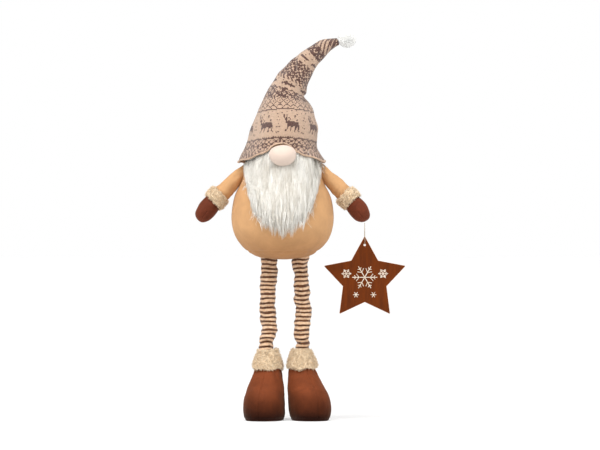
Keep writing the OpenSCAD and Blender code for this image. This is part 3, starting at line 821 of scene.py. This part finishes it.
class GNOME_OT_beard(bpy.types.Operator):
    """Combs the long fur of the beard down over the body, in three layers of locks and one of wisps"""
    bl_idname = "gnome.beard"
    bl_label = "Beard"

    def execute(self, context):
        self.cloth()
        c = tuple(context.scene.gnome_colours.fur)
        fur = pile_hair("fur", c, colour(196, 186, 168), roughness=.5, sheen=.3)
        t = np.linspace(0, 1, 6) ** 1.15
        for layer, name in enumerate(("beard_under", "beard_middle", "beard_over", "beard_wisps")):
            rng = np.random.default_rng(50 + layer)
            wisps = layer == 3
            count = context.scene.gnome_sizes.beard_hairs // (2 if wisps else 1)
            # locks, each from its root down to its own tip
            locks = (150, 130, 110, 330)[layer]
            lz = 436 + (156, 156, 156, 118)[layer] * rng.uniform(0, 1, locks) ** (.8, .62, .5, 1)[layer]
            ls = rng.uniform(-1, 1, locks)
            lx = ls * np.interp(lz, BEARD_WIDE[:, 0], BEARD_WIDE[:, 1]) * .97
            tx = lx * rng.uniform(.86, 1.02, locks) + rng.normal(0, 5, locks)
            flare = np.clip((lz - 500) / 60, 0, 1) * np.clip((np.abs(lx) - 50) / 25, 0, 1)
            tx = tx + np.sign(lx) * flare * rng.uniform(0, 16, locks)
            lowest = np.interp(np.abs(tx), BEARD_TIPS[:, 0], BEARD_TIPS[:, 1])
            lowest = lowest - 2 if wisps else lowest + 13 * smoothstep((95 - np.abs(tx)) / 60)
            tz = np.maximum(lz - rng.uniform(66, 128, locks), lowest + rng.exponential(9 if wisps else 15, locks))
            tz = np.minimum(tz, lz - 16)
            tone, lift = rng.uniform(0, 1, locks), rng.uniform(-1, 1, locks)
            wave = rng.uniform(0, math.tau, locks)
            k_of = rng.choice(locks, count, p=(lz - tz) / (lz - tz).sum())
            spread = rng.normal(0, .3 if wisps else 1, (count, 2))
            zr = np.clip(lz[k_of] + 9 * spread[:, 1], 430, 593)
            xr = lx[k_of] + 7.5 * spread[:, 0]
            wide = np.interp(zr, BEARD_WIDE[:, 0], BEARD_WIDE[:, 1])
            xr = np.clip(xr, -wide, wide)
            xt = tx[k_of] + 1.7 * spread[:, 0] + rng.normal(0, .7 if wisps else 1.5, count)
            zt = np.maximum(tz[k_of] + rng.exponential(10, count), 394)
            zt = np.minimum(zt, zr - 14)
            z = zr[:, None] + (zt - zr)[:, None] * t
            x = xr[:, None] + (xt - xr)[:, None] * t ** .8 \
                + 1.7 * np.sin(t * 5 + wave[k_of][:, None]) * t + rng.normal(0, .5, (count, 1)) * np.sin(t * 9)
            high = (2.5, 6.5, 10.5, 12)[layer] + 2.6 * lift[k_of] + rng.uniform(-1.6, 1.2, count)
            high = high - .35 * np.abs(spread[:, 0]) ** 2
            rise = smoothstep(t / .35) * (1 - .45 * smoothstep((t - .5) / .5))
            path = before_body(x, z, 1.2 + np.maximum(high, .6)[:, None] * rise)
            thick = .00027 * rng.uniform(.7, 1.25, (count, 1)) * np.array([.9, 1, 1, .9, .62, .12])
            # painted light and shade: hairs toward the beard's sides are made lighter as if lit, and the under
            # and middle layers darker as if shaded by the layers over them; the rest is each lock's own tone
            own = .02 + .62 * tone[k_of] + .3 * np.abs(ls[k_of]) + .1 * min(layer, 2)
            own = np.clip(own + rng.normal(0, .12, count), 0, 1)
            outward = np.stack([xr, -np.sqrt(np.maximum(100 ** 2 - xr ** 2, 1)), np.zeros(count)], 1) / 100
            o = hairs(name, path, thick, outward, own)
            finish_piece(o, name, fur, ("beard",), "torso")
        return {"FINISHED"}

    def cloth(self):
        """The woven cloth that the fur is rooted in, which ends well above the tips."""
        rows, cols = 26, 40
        bottom, top = 474, 592
        z, s = np.meshgrid(np.linspace(bottom, top, rows), np.linspace(-1, 1, cols), indexing="ij")
        z = z + 26 * s ** 4 * (1 - (z - bottom) / (top - bottom))  # its lower corners are cut round
        x = s * (np.interp(z, BEARD_WIDE[:, 0], BEARD_WIDE[:, 1]) - 9)
        points = before_body(x, z, .5).reshape(-1, 3).tolist()
        faces = [(r * cols + c, r * cols + c + 1, (r + 1) * cols + c + 1, (r + 1) * cols + c)
                 for r in range(rows - 1) for c in range(cols - 1)]
        o = mesh_piece("beard_cloth", points, faces)
        m = o.modifiers.new("Cloth", "SOLIDIFY")
        m.thickness, m.offset = .0011, 1
        apply_modifier(o, m.name)
        weave = pile_cloth("beard_cloth", colour(232, 226, 212), colour(206, 196, 176), nap=60, grain=1400)
        finish_piece(o, "beard_cloth", weave, ("beard_backing",), "torso")


# ---------------------------------------------------------------- hat

# Middle, height and radius of the hat's level rings, then of its bent ones
HAT_LEVELS = ((-2, 563, 95), (-2, 569, 93), (-3, 582, 85.5), (-3, 595, 79), (1, 621, 75), (4, 635, 73),
              (5, 648, 70), (6, 674, 61), (7, 702, 47.5))
HAT_BEND = ((16, 727, 38), (22, 740, 35.5), (29, 750.5, 32), (37, 762.5, 29.5), (46, 774.5, 27),
            (57.5, 787.5, 23.5), (70, 799.5, 19.8), (90, 814, 16), (107, 821.5, 12), (121, 826.5, 8))
# Height of the brim at each distance from the middle of the front
BRIM = np.array([(0, 602.5), (12, 601), (24, 595), (34, 585), (66, 572), (95, 563), (110, 563)])

DEER = (
    "..#.#......#......",
    "..#.#.#...........",
    "...##..#.....#....",
    "....#.#...........",
    "....###########...",
    ".....##########...",
    ".....###########..",
    ".....##.##..##.#..",
    ".....#..#...#..#..",
    "....#...#...#..#..",
    "....#...#...#...#.",
)


def snow(i, j, size):
    """A knitted snow crystal that repeats, as in a two-colour band."""
    x, y = abs(i % size - size // 2), abs(j % size - size // 2)
    return x == y or (x == 0 and y > 1) or (y == 0 and x > 1) or x + y == size // 2 + 1 or (x + y == 3)


def dark_stitch(i, j):
    """Whether stitch i of row j is of dark yarn. Row 0 is the brim."""
    if j < 11:
        return (i + j) % 6 < 3 if j % 11 < 5 else (i % 4 < 2 or (i + j) % 5 == 0)
    if j < 23:
        return snow(i, j - 10, 13) or (i % 13 == 0 and j % 2 == 0)
    if j < 25:
        return True if j == 23 else i % 2 == 0
    if j < 47:
        row, along = int((45 - j) / 1.45), (i - 5) % 23
        deer = 0 <= row < len(DEER) and along < 18 and DEER[row][along] == "#"
        return deer or (along in (19, 21) and j in (29, 34, 41)) or (along == 20 and j in (28, 37, 44))
    if j < 52:
        return (i * 3 + j * 5) % 17 == 0
    if j < 54:
        return True if j == 52 else i % 5 == 0
    if j < 63:
        return (i + j) % 6 == 0 or (i - j) % 6 == 0 or (i % 6 == 3 and j in (56, 60))
    if j < 73:
        return snow(i, j - 62, 11) or (j in (64, 71) and i % 3 < 2) or (i + 2 * j) % 11 < 2
    if j < 81:
        along = i % 19
        dash = (j in (76, 77) and along < 12) or (j in (75, 78) and along in (3, 4, 8))
        return dash or (j == 79 and i % 6 == 0)
    if j < 84:
        return (i + j) % 4 < 2
    if j < 102:
        return snow(i, j - 83, 9) or (i + 2 * j) % 9 == 0
    if j < 114:
        return (j in (106, 107) and i % 13 < 8) or (i * 5 + j * 3) % 19 == 0
    if j < 124:
        return snow(i, j, 7) or j % 5 == 0
    return (i + j) % 5 < (2 if j < 134 else 4)


class GNOME_OT_hat(bpy.types.Operator):
    """Knits the hat as one skin over its bend, with a rolled hem"""
    bl_idname = "gnome.hat"
    bl_label = "Hat"

    def execute(self, context):
        sizes, colours = context.scene.gnome_sizes, context.scene.gnome_colours
        keys = smooth_line(HAT_LEVELS + HAT_BEND, 8) * MM
        along = np.concatenate([[0], np.cumsum(np.hypot(*np.diff(keys[:, :2], axis=0).T))])
        rows = int(along[-1] / sizes.course) + 1
        s = np.linspace(0, along[-1], rows)
        cx, cz, r = (np.interp(s, along, keys[:, k]) for k in range(3))
        tilt = np.arctan2(np.gradient(cx), np.gradient(cz))
        tilt = np.convolve(np.pad(tilt, 6, "edge"), np.ones(13) / 13, "valid") * smoothstep((s - .1) / .06)
        cols = 240
        a = (np.arange(cols + 1) / cols - .5) * math.tau  # 0 at the front, the seam at the back
        side, front = np.sin(a), np.cos(a)
        S, A = np.meshgrid(s, a, indexing="ij")
        wide = r[:, None] * np.ones(cols + 1)
        # the pinch on the inside of the bend, folds that run from it, and soft unevenness
        bend = along[8 * len(HAT_LEVELS)] - .008
        right = np.clip(np.sin(A), 0, 1)
        wide -= .0038 * right ** 3 * bell(S - bend, .006)
        wide += .0016 * right ** 2 * bell(S - bend - .016, .01)
        wide += .0012 * right ** 2 * bell(S - bend + .016, .01)
        fold = S - bend - .035 * (1 - np.sin(A))
        wide -= .0022 * bell(fold, .006) * np.clip(np.cos(A) + .3, 0, 1) * (S > bend - .01)
        wide += .0016 * bell(fold - .011, .007) * np.clip(np.cos(A) + .3, 0, 1)
        lump = np.array([[noise.noise(Vector((math.sin(q) * 1.6, math.cos(q) * 1.6, p / .03))) for q in a]
                         for p in s])
        lump[:, -1] = lump[:, 0]
        wide += lump * .0026 * smoothstep(S / .02)
        # the brim arches over the nose
        arch = smooth_line(BRIM, 6)
        brim = np.where(front > 0, np.interp(np.abs(side) * 90, arch[:, 0], arch[:, 1]), 563) * MM
        wave = .0015 * np.sin(A[0] * 9) * (np.abs(side) > .5)
        z = np.maximum(cz[:, None], (brim + wave)[None, :])
        level = np.interp(z, cz, r) / r[:, None]  # rows below the brim are drawn up to it
        lowered = z > cz[:, None] + 1e-7
        wide = np.where(lowered, wide * level, wide)
        mid = np.where(lowered, np.interp(z, cz, cx), cx[:, None])
        x = AXIS.x + mid + wide * np.sin(A) * np.cos(tilt)[:, None]
        y = AXIS.y - wide * np.cos(A)
        z = z - wide * np.sin(A) * np.sin(tilt)[:, None]
        grid = np.stack([x, y, z], 2)
        # stitches keep their size, so the pattern is counted along the cloth
        drop = .0095 * np.sin(A) ** 2 * smoothstep(1.2 - S / .2)
        uv = np.stack([A * r[:, None] / sizes.stitch, (S + drop) / sizes.course], 2)
        tip = grid[-1].mean(0)
        close = [tip + (grid[-1] - tip) * k + np.array([.0018, 0, .0003]) * (1 - k) for k in (.7, .4, .12)]
        grid = np.concatenate([grid, close])
        uv = np.concatenate([uv, [uv[-1]] * 3])
        o = tube_grid("hat", grid[:, :-1], uv.astype(np.float32))
        quads = (len(grid) - 1) * cols
        self.colour_stitches(o, quads, colours)
        # the underside is open, so the face that closes the lower end goes
        edit(o)
        bpy.ops.mesh.select_all(action="DESELECT")
        bpy.ops.object.mode_set(mode="OBJECT")
        o.data.polygons[quads].select = True
        bpy.ops.object.mode_set(mode="EDIT")
        bpy.ops.mesh.delete(type="ONLY_FACE")
        close_edit()
        m = o.modifiers.new("Cloth", "SOLIDIFY")
        m.thickness, m.offset = .0018, -1
        apply_modifier(o, m.name)
        finish_piece(o, "hat", knit("hat_knit"),
                     ("hat_lower", "hat_filling_lower", "hat_upper", "hat_filling_upper"), None)
        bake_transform(o)
        self.hem(context, grid[0, :-1])
        return {"FINISHED"}

    def colour_stitches(self, o, quads, colours):
        """Gives each stitch the colour of its yarn, a little uneven."""
        corner = np.zeros(len(o.data.loops) * 2, np.float32)
        o.data.uv_layers["knit"].data.foreach_get("uv", corner)
        rng = np.random.default_rng(60)
        light, dark = (np.array(tuple(k)) for k in (colours.light_yarn, colours.dark_yarn))
        uneven = rng.normal(1, .055, (400, 400))
        tones = np.ones((len(o.data.loops), 4), np.float32)
        centre = np.floor(corner.reshape(-1, 2)[: quads * 4].reshape(-1, 4, 2).mean(1)).astype(int)
        picked = {}
        for q, (i, j) in enumerate(centre.tolist()):
            if (i, j) not in picked:
                base = dark if dark_stitch(i + 8, j) else light
                picked[i, j] = np.clip(base * uneven[i % 400, j % 400], 0, 1)
            tones[q * 4: q * 4 + 4] = picked[i, j]
        tones[:, 3] = 1
        o.data.color_attributes.new("yarn", "FLOAT_COLOR", "CORNER").data.foreach_set("color", tones.ravel())

    def hem(self, context, edge):
        """A rolled hem along the hat's lower edge."""
        n, sides, thick = len(edge), 10, .0021
        ahead = unit(np.roll(edge, -1, 0) - np.roll(edge, 1, 0))
        out = edge - np.array([AXIS.x - .002, AXIS.y, 0])
        out[:, 2] = 0
        out = unit(out - ahead * (out * ahead).sum(1, keepdims=True))
        up = np.cross(ahead, out)
        turn = (np.arange(sides) * math.tau / sides)[None, :, None]
        ring = edge[:, None] + thick * (np.cos(turn) * out[:, None] + np.sin(turn) * up[:, None])
        faces = [(i * sides + j, i * sides + (j + 1) % sides,
                  (i + 1) % n * sides + (j + 1) % sides, (i + 1) % n * sides + j)
                 for i in range(n) for j in range(sides)]
        o = mesh_piece("hat_hem", ring.reshape(-1, 3).tolist(), faces)
        edit(o)
        close_edit()
        rumple(o, .004, .0009, 61)
        c = tuple(context.scene.gnome_colours.light_yarn)
        yarn = pile_cloth("hem_yarn", c, darker(c, .62), nap=120, grain=900)
        finish_piece(o, "hat_hem", yarn, (), "torso")


class GNOME_OT_pompom(bpy.types.Operator):
    """Ties the pompom of cut yarn to the hat's tip"""
    bl_idname = "gnome.pompom"
    bl_label = "Pompom"

    def execute(self, context):
        low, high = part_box("pompom")
        mid, r = (low + high) / 2 - Vector((.002, 0, 0)), (high.x - low.x) / 2
        bpy.ops.object.select_all(action="DESELECT")
        bpy.ops.mesh.primitive_ico_sphere_add(subdivisions=5, radius=r * .97)
        o = bpy.context.object
        rumple(o, .006, .0022, 71)
        o.data.transform(Matrix.Translation(mid))
        white, grey = colour(249, 249, 247), colour(236, 236, 233)
        heart = fleece("pompom_heart", white, grey)
        finish_piece(o, "pompom_heart", heart, ("pompom",), "hat_tip")
        n = context.scene.gnome_sizes.pompom_ends
        rng = np.random.default_rng(72)
        way = unit(rng.normal(size=(n, 3)))
        bent = np.cross(way, rng.normal(size=(n, 3))) * .12
        t = np.array([.86, .95, 1.0])
        long = r * rng.uniform(1.01, 1.06, (n, 1, 1))
        path = np.array(mid) + way[:, None] * long * t[None, :, None] \
            + bent[:, None] * long * (t - t[0])[None, :, None]
        thick = .0007 * rng.uniform(.8, 1.2, (n, 1)) * np.array([1, 1, .8])
        ends = hairs("pompom_ends", path, thick, np.cross(way, bent), rng.uniform(.3, 1, n))
        yarn = pile_hair("pompom_ends", white, grey, .8)
        finish_piece(ends, "pompom_ends", yarn, (), "hat_tip", smooth=False)
        return {"FINISHED"}


# ---------------------------------------------------------------- stockings and boots

class GNOME_OT_stockings(bpy.types.Operator):
    """Pulls the striped stockings over the legs, wrinkled as they are worn"""
    bl_idname = "gnome.stockings"
    bl_label = "Stockings"

    def execute(self, context):
        cloth = jersey("jersey", context.scene.gnome_sizes.stripe)
        top, foot = HIP + .011, .121
        rows, cols = 200, 72
        z = np.linspace(foot, top, rows)
        a = np.arange(cols + 1) / cols * math.tau
        Z, A = np.meshgrid(z, a, indexing="ij")
        loose = smoothstep((Z - foot) / .03) * smoothstep((top - Z) / .02)
        sway = np.interp(Z, (.12, .17, .195, .25, .31, .34, .36), (0, .0022, -.0014, .0016, -.0016, -.002, 0))

        def cloth_noise(height, turn, seed):
            g = np.array([[noise.noise(Vector((math.cos(q) * turn + seed, math.sin(q) * turn, p / height)))
                           for q in a[:-1]] for p in z])
            return np.concatenate([g, g[:, :1]], 1)

        for side, name in SIDES:
            fold = cloth_noise(.009, .7, 80 + 5 * side)
            slack = cloth_noise(.03, .5, 90 + 5 * side)
            tuck = np.abs(cloth_noise(.016, .9, 95 + 5 * side))
            r = .0166 + loose * (.0034 * fold + .0052 * slack - .003 * bell(tuck, .05))
            x = AXIS.x + LEG_X[side] + side * sway + r * np.cos(A)
            y = AXIS.y + r * np.sin(A)
            sag = loose * (.0052 * cloth_noise(.05, .6, 100 + 5 * side) + .0022 * fold)
            grid = np.stack([x, y, Z + .25 * sag], 2)
            uv = np.stack([A * .0165, Z + sag], 2).astype(np.float32)
            o = tube_grid(name + "_stocking", grid[:, :-1], uv)
            finish_piece(o, name + "_stocking", cloth, (name + "_sock",))
            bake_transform(o)
        return {"FINISHED"}


# Height, half width, reach of the toe and reach of the heel of a boot, in millimetres
BOOT_LEVELS = ((2.2, 38, 77, 28.5), (9, 43, 82, 32.4), (25, 44.4, 83.4, 33.4), (45, 44.2, 82.4, 34),
               (62, 42.4, 74.4, 34), (78, 38.4, 57.4, 33), (94, 33.5, 42, 30.5), (108, 28.6, 30, 28),
               (121, 26, 26, 26))
BOOT_NECK = .122
# How far the foot stands outwards of the leg, in millimetres
OUTWARD = {LEFT: 6, RIGHT: 1}


class GNOME_OT_boots(bpy.types.Operator):
    """Sews and stuffs the two boots, with a seam down the front and one round the sole"""
    bl_idname = "gnome.boots"
    bl_label = "Boots"

    def execute(self, context):
        c = tuple(context.scene.gnome_colours.boots)
        # painted shade: the boot cloth is darkened near the floor, fully below about 14 mm, fading out by 78 mm
        felt = pile_cloth("boot_cloth", c, darker(c, .6), nap=24, grain=850, depth=.0004, roughness=.66,
                          sheen=.12, sheen_tint=(1, .6, .4, 1),
                          painted_low_shade=(.014, .078, (.1, .07, .055, 1)), gloss=.06)
        for side, name in SIDES:
            line = smooth_line(BOOT_LEVELS, 2) * MM
            o = stack([(0, (b - f) / 2, z, w, (b + f) / 2) for z, w, f, b in line], 44)
            co = points_of(o)
            low = smoothstep(1 - co[:, 2] / BOOT_NECK)
            back = np.clip((co[:, 1] + .025) / .06, -1, 1)
            co[:, 0] = co[:, 0] * (1 - .2 * low * back) + side * low * OUTWARD[side] * MM
            set_points(o, co)
            shift = side * OUTWARD[side] * MM

            def middle(co):
                return np.abs(co[:, 0] - shift * smoothstep(1 - co[:, 2] / BOOT_NECK))

            def front(co):
                return np.where((co[:, 1] < -.01) & (co[:, 2] > .008), middle(co), 1)

            def heel(co):
                return np.where((co[:, 1] > 0) & (co[:, 2] > .008), middle(co), 1)

            def sole(co):
                return np.where(co[:, 2] < .0045, 0, co[:, 2] - .0045)

            def held(co):
                return np.maximum.reduce((.9 * bell(front(co), .0025), bell(sole(co), .002),
                                          .9 * smoothstep((co[:, 2] - .1) / .008)))

            stuff(o, .0042, .0026, held, levels=2)
            rumple(o, .045, .0028, 110 + side)
            rumple(o, .016, .0008, 112 + side)
            # gathers below the cuff
            rumple(o, .009, .0024, 114 + side, (1, 1, .22), lambda co: bell(co[:, 2] - .103, .011))
            sew(o, front, .0016, .0011)
            sew(o, heel, .001, .0012)
            sew(o, lambda co: np.abs(co[:, 2] - .007), .0008, .0012)
            co = points_of(o)
            # the lower edge is drawn down flat to the sole panel
            drawn = np.interp(co[:, 2], (.0045, .012), (.0012, .012))
            co[:, 2] = np.where(co[:, 2] < .012, drawn, co[:, 2])
            set_points(o, co)
            o.data.transform(boot_place(side))
            finish_piece(o, name + "_boot_upper", felt,
                         (name + "_boot_cover", name + "_boot_filling"), name + "_boot")
        return {"FINISHED"}


class GNOME_OT_boot_cuffs(bpy.types.Operator):
    """Makes the flared fleece cuffs of the boots"""
    bl_idname = "gnome.boot_cuffs"
    bl_label = "Boot Cuffs"

    def execute(self, context):
        pile = context.scene.gnome_sizes.pile
        section = smooth_line([(29.5, 117), (31.5, 114.5), (32.6, 118), (31, 126), (26.6, 138), (22.2, 148.5),
                               (20.6, 153.5), (18.6, 153.5), (18.6, 146), (20, 134), (27.6, 124), (29.5, 117)], 3)
        for side, name in SIDES:
            def wavy(o):
                co = points_of(o)
                turn = np.arctan2(co[:, 1], co[:, 0])
                low = smoothstep((.142 - co[:, 2]) / .026)
                co[:, 2] += low * (.0022 * np.sin(turn) + .0011 * np.sin(turn * 5 + side)) + (side - 1) * .0006
                co[:, :2] *= (1 + .03 * low * np.sin(turn * 7 + side))[:, None]
                set_points(o, co)

            cuff = name + "_boot_cuff"
            bumps = ((.03, .003, 121 + side), (.006, .0026, 123 + side), (.0028, .0012, 125 + side))
            fleece_cuff(context, (cuff + "_fleece", cuff + "_curls"), cuff, name + "_boot", leg_place(side),
                        section, 84, bumps, (5200, pile, .00034, (0, 0, -.55), 131 + side), wavy)
        return {"FINISHED"}


# ---------------------------------------------------------------- star

class GNOME_OT_star(bpy.types.Operator):
    """Saws the board star, softens its edges and paints snow crystals on it"""
    bl_idname = "gnome.star"
    bl_label = "Star"

    def execute(self, context):
        low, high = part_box("star_plate")
        middle = at(*STAR_MIDDLE)
        thick, point, inner = high.y - low.y, .094, .050
        bpy.ops.object.select_all(action="DESELECT")
        bpy.ops.mesh.primitive_circle_add(vertices=10, radius=point, fill_type="NGON")
        o = bpy.context.object
        corners = [(r * math.sin(a), 0, r * math.cos(a)) for k in range(10)
                   for r, a in [((point, inner)[k % 2], k * math.pi / 5)]]
        set_points(o, corners)
        edit(o)
        bpy.ops.mesh.extrude_region_move(TRANSFORM_OT_translate={"value": (0, thick, 0)})
        bpy.ops.mesh.select_all(action="DESELECT")
        bpy.ops.object.mode_set(mode="OBJECT")
        for e in o.data.edges:
            a, b = (o.data.vertices[v].co for v in e.vertices)
            e.select = abs(a.y - b.y) > thick / 2 and math.hypot(a.x, a.z) > (point + inner) / 2
        bpy.ops.object.mode_set(mode="EDIT")
        bpy.ops.mesh.bevel(offset=.0028, segments=4, affect="EDGES")
        o = close_edit()
        o.data.transform(Matrix.Translation(middle - Vector((0, thick / 2, 0))))
        bpy.ops.object.select_all(action="DESELECT")
        bpy.ops.mesh.primitive_cylinder_add(vertices=32, radius=.0025, depth=.02, location=at(*STAR_HOLE),
                                            rotation=(math.pi / 2, 0, 0))
        drill = bpy.context.object
        m = o.modifiers.new("Hole", "BOOLEAN")
        m.operation, m.object, m.solver = "DIFFERENCE", drill, "EXACT"
        apply_modifier(o, m.name)
        bpy.data.objects.remove(drill)
        m = o.modifiers.new("Worn edges", "BEVEL")
        m.width, m.segments, m.limit_method, m.angle_limit = .0005, 2, "ANGLE", math.radians(50)
        apply_modifier(o, m.name)
        c = tuple(context.scene.gnome_colours.star)
        face = wood("star_stain", c, darker(c, .62), (1, 1, .16), 70, .75)
        finish_piece(o, "star_board", face, ("star_plate",), "star", smooth=False)
        edge = wood("star_edge", colour(196, 140, 88), colour(150, 92, 48), (1, .3, 1), 160, .8)
        o.data.materials.append(edge)
        is_edge = [int(abs(p.normal.y) <= .95) for p in o.data.polygons]
        o.data.polygons.foreach_set("material_index", is_edge)
        self.paint(context, middle - Vector((0, thick / 2, 0)))
        return {"FINISHED"}

    def paint(self, context, middle):
        """Brush strokes that make a large snow crystal and four small ones."""
        crystals = ((0, .004, .027), (-.04, .012, .0105), (.04, .012, .0105), (-.019, -.034, .006),
                    (.019, -.034, .006))
        strokes = []
        for x, z, r in crystals:
            for k in range(6):
                a = k * math.pi / 3 + math.pi / 6
                strokes.append((x, z, a, r))
                if r > .01:
                    for share in (.45, .72):
                        px, pz = x + r * share * math.sin(a), z + r * share * math.cos(a)
                        strokes += [(px, pz, a + turn, r * (1.02 - share) * .62) for turn in (-.9, .9)]
        bpy.ops.object.select_all(action="DESELECT")
        made = []
        for x, z, a, long in strokes:
            wide = .0017 if long > .012 else .0013
            bpy.ops.mesh.primitive_cube_add(size=1)
            o = bpy.context.object
            o.data.transform(Matrix.Diagonal((wide, .0004, long + wide * .5, 1)))
            edit(o)
            bpy.ops.mesh.bevel(offset=.00035, segments=2, affect="EDGES")
            bpy.ops.object.mode_set(mode="OBJECT")
            o.data.transform(Matrix.Translation(middle + Vector((x, -.00008, z))) @ Matrix.Rotation(a, 4, "Y")
                             @ Matrix.Translation((0, 0, long / 2)))
            made.append(o)
        bpy.ops.object.select_all(action="DESELECT")
        for o in made:
            o.select_set(True)
        bpy.context.view_layer.objects.active = made[0]
        bpy.ops.object.join()
        chalk = pile_cloth("chalk_paint", colour(244, 238, 226), colour(206, 186, 160), nap=160, grain=1800,
                           depth=.0002, sheen=0)
        finish_piece(bpy.context.object, "star_painting", chalk, (), "star", smooth=False)


# ---------------------------------------------------------------- inside parts, stage

class GNOME_OT_inside(bpy.types.Operator):
    """Gives the boards, tubes, flanges and fillings inside their finishes"""
    bl_idname = "gnome.inside"
    bl_label = "Inside Parts"

    def execute(self, context):
        made = {
            "plywood": wood("plywood", colour(214, 176, 128), colour(176, 132, 84), (.15, 1, 1), 80, .7),
            "steel_tube": hard("drawn_steel", colour(186, 186, 190), 1, .32, (1, 1, .03), 900),
            "steel_screw": hard("plated_steel", colour(176, 178, 184), 1, .38, (1, 1, 1), 500),
            "wire": hard("wire", colour(140, 140, 144), 1, .45, (1, 1, .1), 900),
            "grey_plastic": hard("grey_moulding", colour(74, 76, 80), 0, .55, (1, 1, 1), 1200),
            "white_plastic": hard("white_moulding", colour(228, 228, 224), 0, .45, (1, 1, 1), 1200),
            "pellets": pile_cloth("pellet_bag", colour(150, 146, 138), colour(110, 106, 98), 200, 600),
            "fibrefill": fleece("fibrefill", colour(242, 242, 240), colour(222, 222, 218)),
            "sole_felt": pile_cloth("sole_felt", colour(88, 48, 34), colour(56, 30, 22), 40, 700),
        }
        for row in frame["record"]["subparts"]:
            o = frame["nodes"][row["node"]]
            finish = made.get(row["material_slot"])
            if finish is None:
                continue
            for slot in o.material_slots:
                slot.material = finish
            if not o.material_slots:
                o.data.materials.append(finish)
        return {"FINISHED"}


class GNOME_OT_stage(bpy.types.Operator):
    """Lays a pale floor and lights it softly"""
    bl_idname = "gnome.stage"
    bl_label = "Stage"

    def execute(self, context):
        bpy.ops.object.select_all(action="DESELECT")
        bpy.ops.mesh.primitive_plane_add(size=80, location=(0, 0, -.0002))
        floor = context.object
        floor.name = "floor"
        paper = Finish("paper", Roughness=.9, Specular_IOR_Level=.1, Emission_Color=(1, 1, 1, 1),
                       Emission_Strength=.48)
        tone = paper.noise(paper.object_place(), 3, 2)
        paper.set("Base Color", paper.mix(tone, colour(188, 188, 188), colour(194, 194, 194)))
        floor.data.materials.append(paper.material)
        aim = Vector((0, 0, .42))
        for name, place, size, power, tint in (
            ("key", (-2.0, -1.4, 1.9), .9, 24, (1, .985, .96)),
            ("side", (2.1, -1.2, 1.8), .9, 24, (1, .99, .97)),
            ("top", (.2, .2, 2.9), 1.4, 8, (1, 1, 1)),
        ):
            bpy.ops.object.light_add(type="AREA", location=place)
            lamp = context.object
            lamp.name = name
            lamp.data.size, lamp.data.energy, lamp.data.color = size, power, tint
            lamp.rotation_euler = (aim - Vector(place)).to_track_quat("-Z", "Y").to_euler()
        bpy.ops.object.light_add(type="SUN", location=(-1, -2, 3))
        sky = context.object
        sky.name = "skylight"
        sky.data.energy, sky.data.angle = 3.0, math.radians(46)
        sky.rotation_euler = Vector((.14, .5, -1)).to_track_quat("-Z", "Y").to_euler()
        world = bpy.data.worlds.new("studio")
        world.use_nodes = True
        tree = world.node_tree
        height = tree.nodes.new("ShaderNodeSeparateXYZ")
        tree.links.new(tree.nodes.new("ShaderNodeTexCoord").outputs["Generated"], height.inputs[0])
        fade = tree.nodes.new("ShaderNodeMapRange")
        for socket, value in (("From Min", .1), ("From Max", .3), ("To Min", 1.0), ("To Max", .16)):
            fade.inputs[socket].default_value = value
        tree.links.new(height.outputs[2], fade.inputs["Value"])
        back = tree.nodes["Background"]
        back.inputs["Color"].default_value = (1, 1, 1, 1)
        tree.links.new(fade.outputs[0], back.inputs["Strength"])
        context.scene.world = world
        context.scene.view_settings.view_transform = "Standard"
        return {"FINISHED"}


PIECES = (
    GNOME_OT_camera, GNOME_OT_twine, GNOME_OT_inside, GNOME_OT_body, GNOME_OT_sleeves, GNOME_OT_mittens,
    GNOME_OT_arm_cuffs, GNOME_OT_nose, GNOME_OT_beard, GNOME_OT_hat, GNOME_OT_pompom, GNOME_OT_stockings,
    GNOME_OT_boots, GNOME_OT_boot_cuffs, GNOME_OT_star, GNOME_OT_stage,
)


class GNOME_PT_panel(bpy.types.Panel):
    """The gnome's pieces, in the order in which they are made"""
    bl_idname = "GNOME_PT_panel"
    bl_label = "Stuffed Gnome"
    bl_space_type = "VIEW_3D"
    bl_region_type = "UI"
    bl_category = "Gnome"

    def draw(self, context):
        for group in (context.scene.gnome_sizes, context.scene.gnome_colours):
            for name in group.__annotations__:
                self.layout.prop(group, name)
        for piece in PIECES:
            self.layout.operator(piece.bl_idname)


CLASSES = (GnomeSizes, GnomeColours, *PIECES, GNOME_PT_panel)


def register():
    for c in CLASSES:
        bpy.utils.register_class(c)
    bpy.types.Scene.gnome_sizes = PointerProperty(type=GnomeSizes)
    bpy.types.Scene.gnome_colours = PointerProperty(type=GnomeColours)


def unregister():
    del bpy.types.Scene.gnome_colours
    del bpy.types.Scene.gnome_sizes
    for c in reversed(CLASSES):
        bpy.utils.unregister_class(c)


def main():
    register()
    for piece in PIECES:
        group, name = piece.bl_idname.split(".")
        getattr(getattr(bpy.ops, group), name)()


if __name__ == "__main__":
    main()
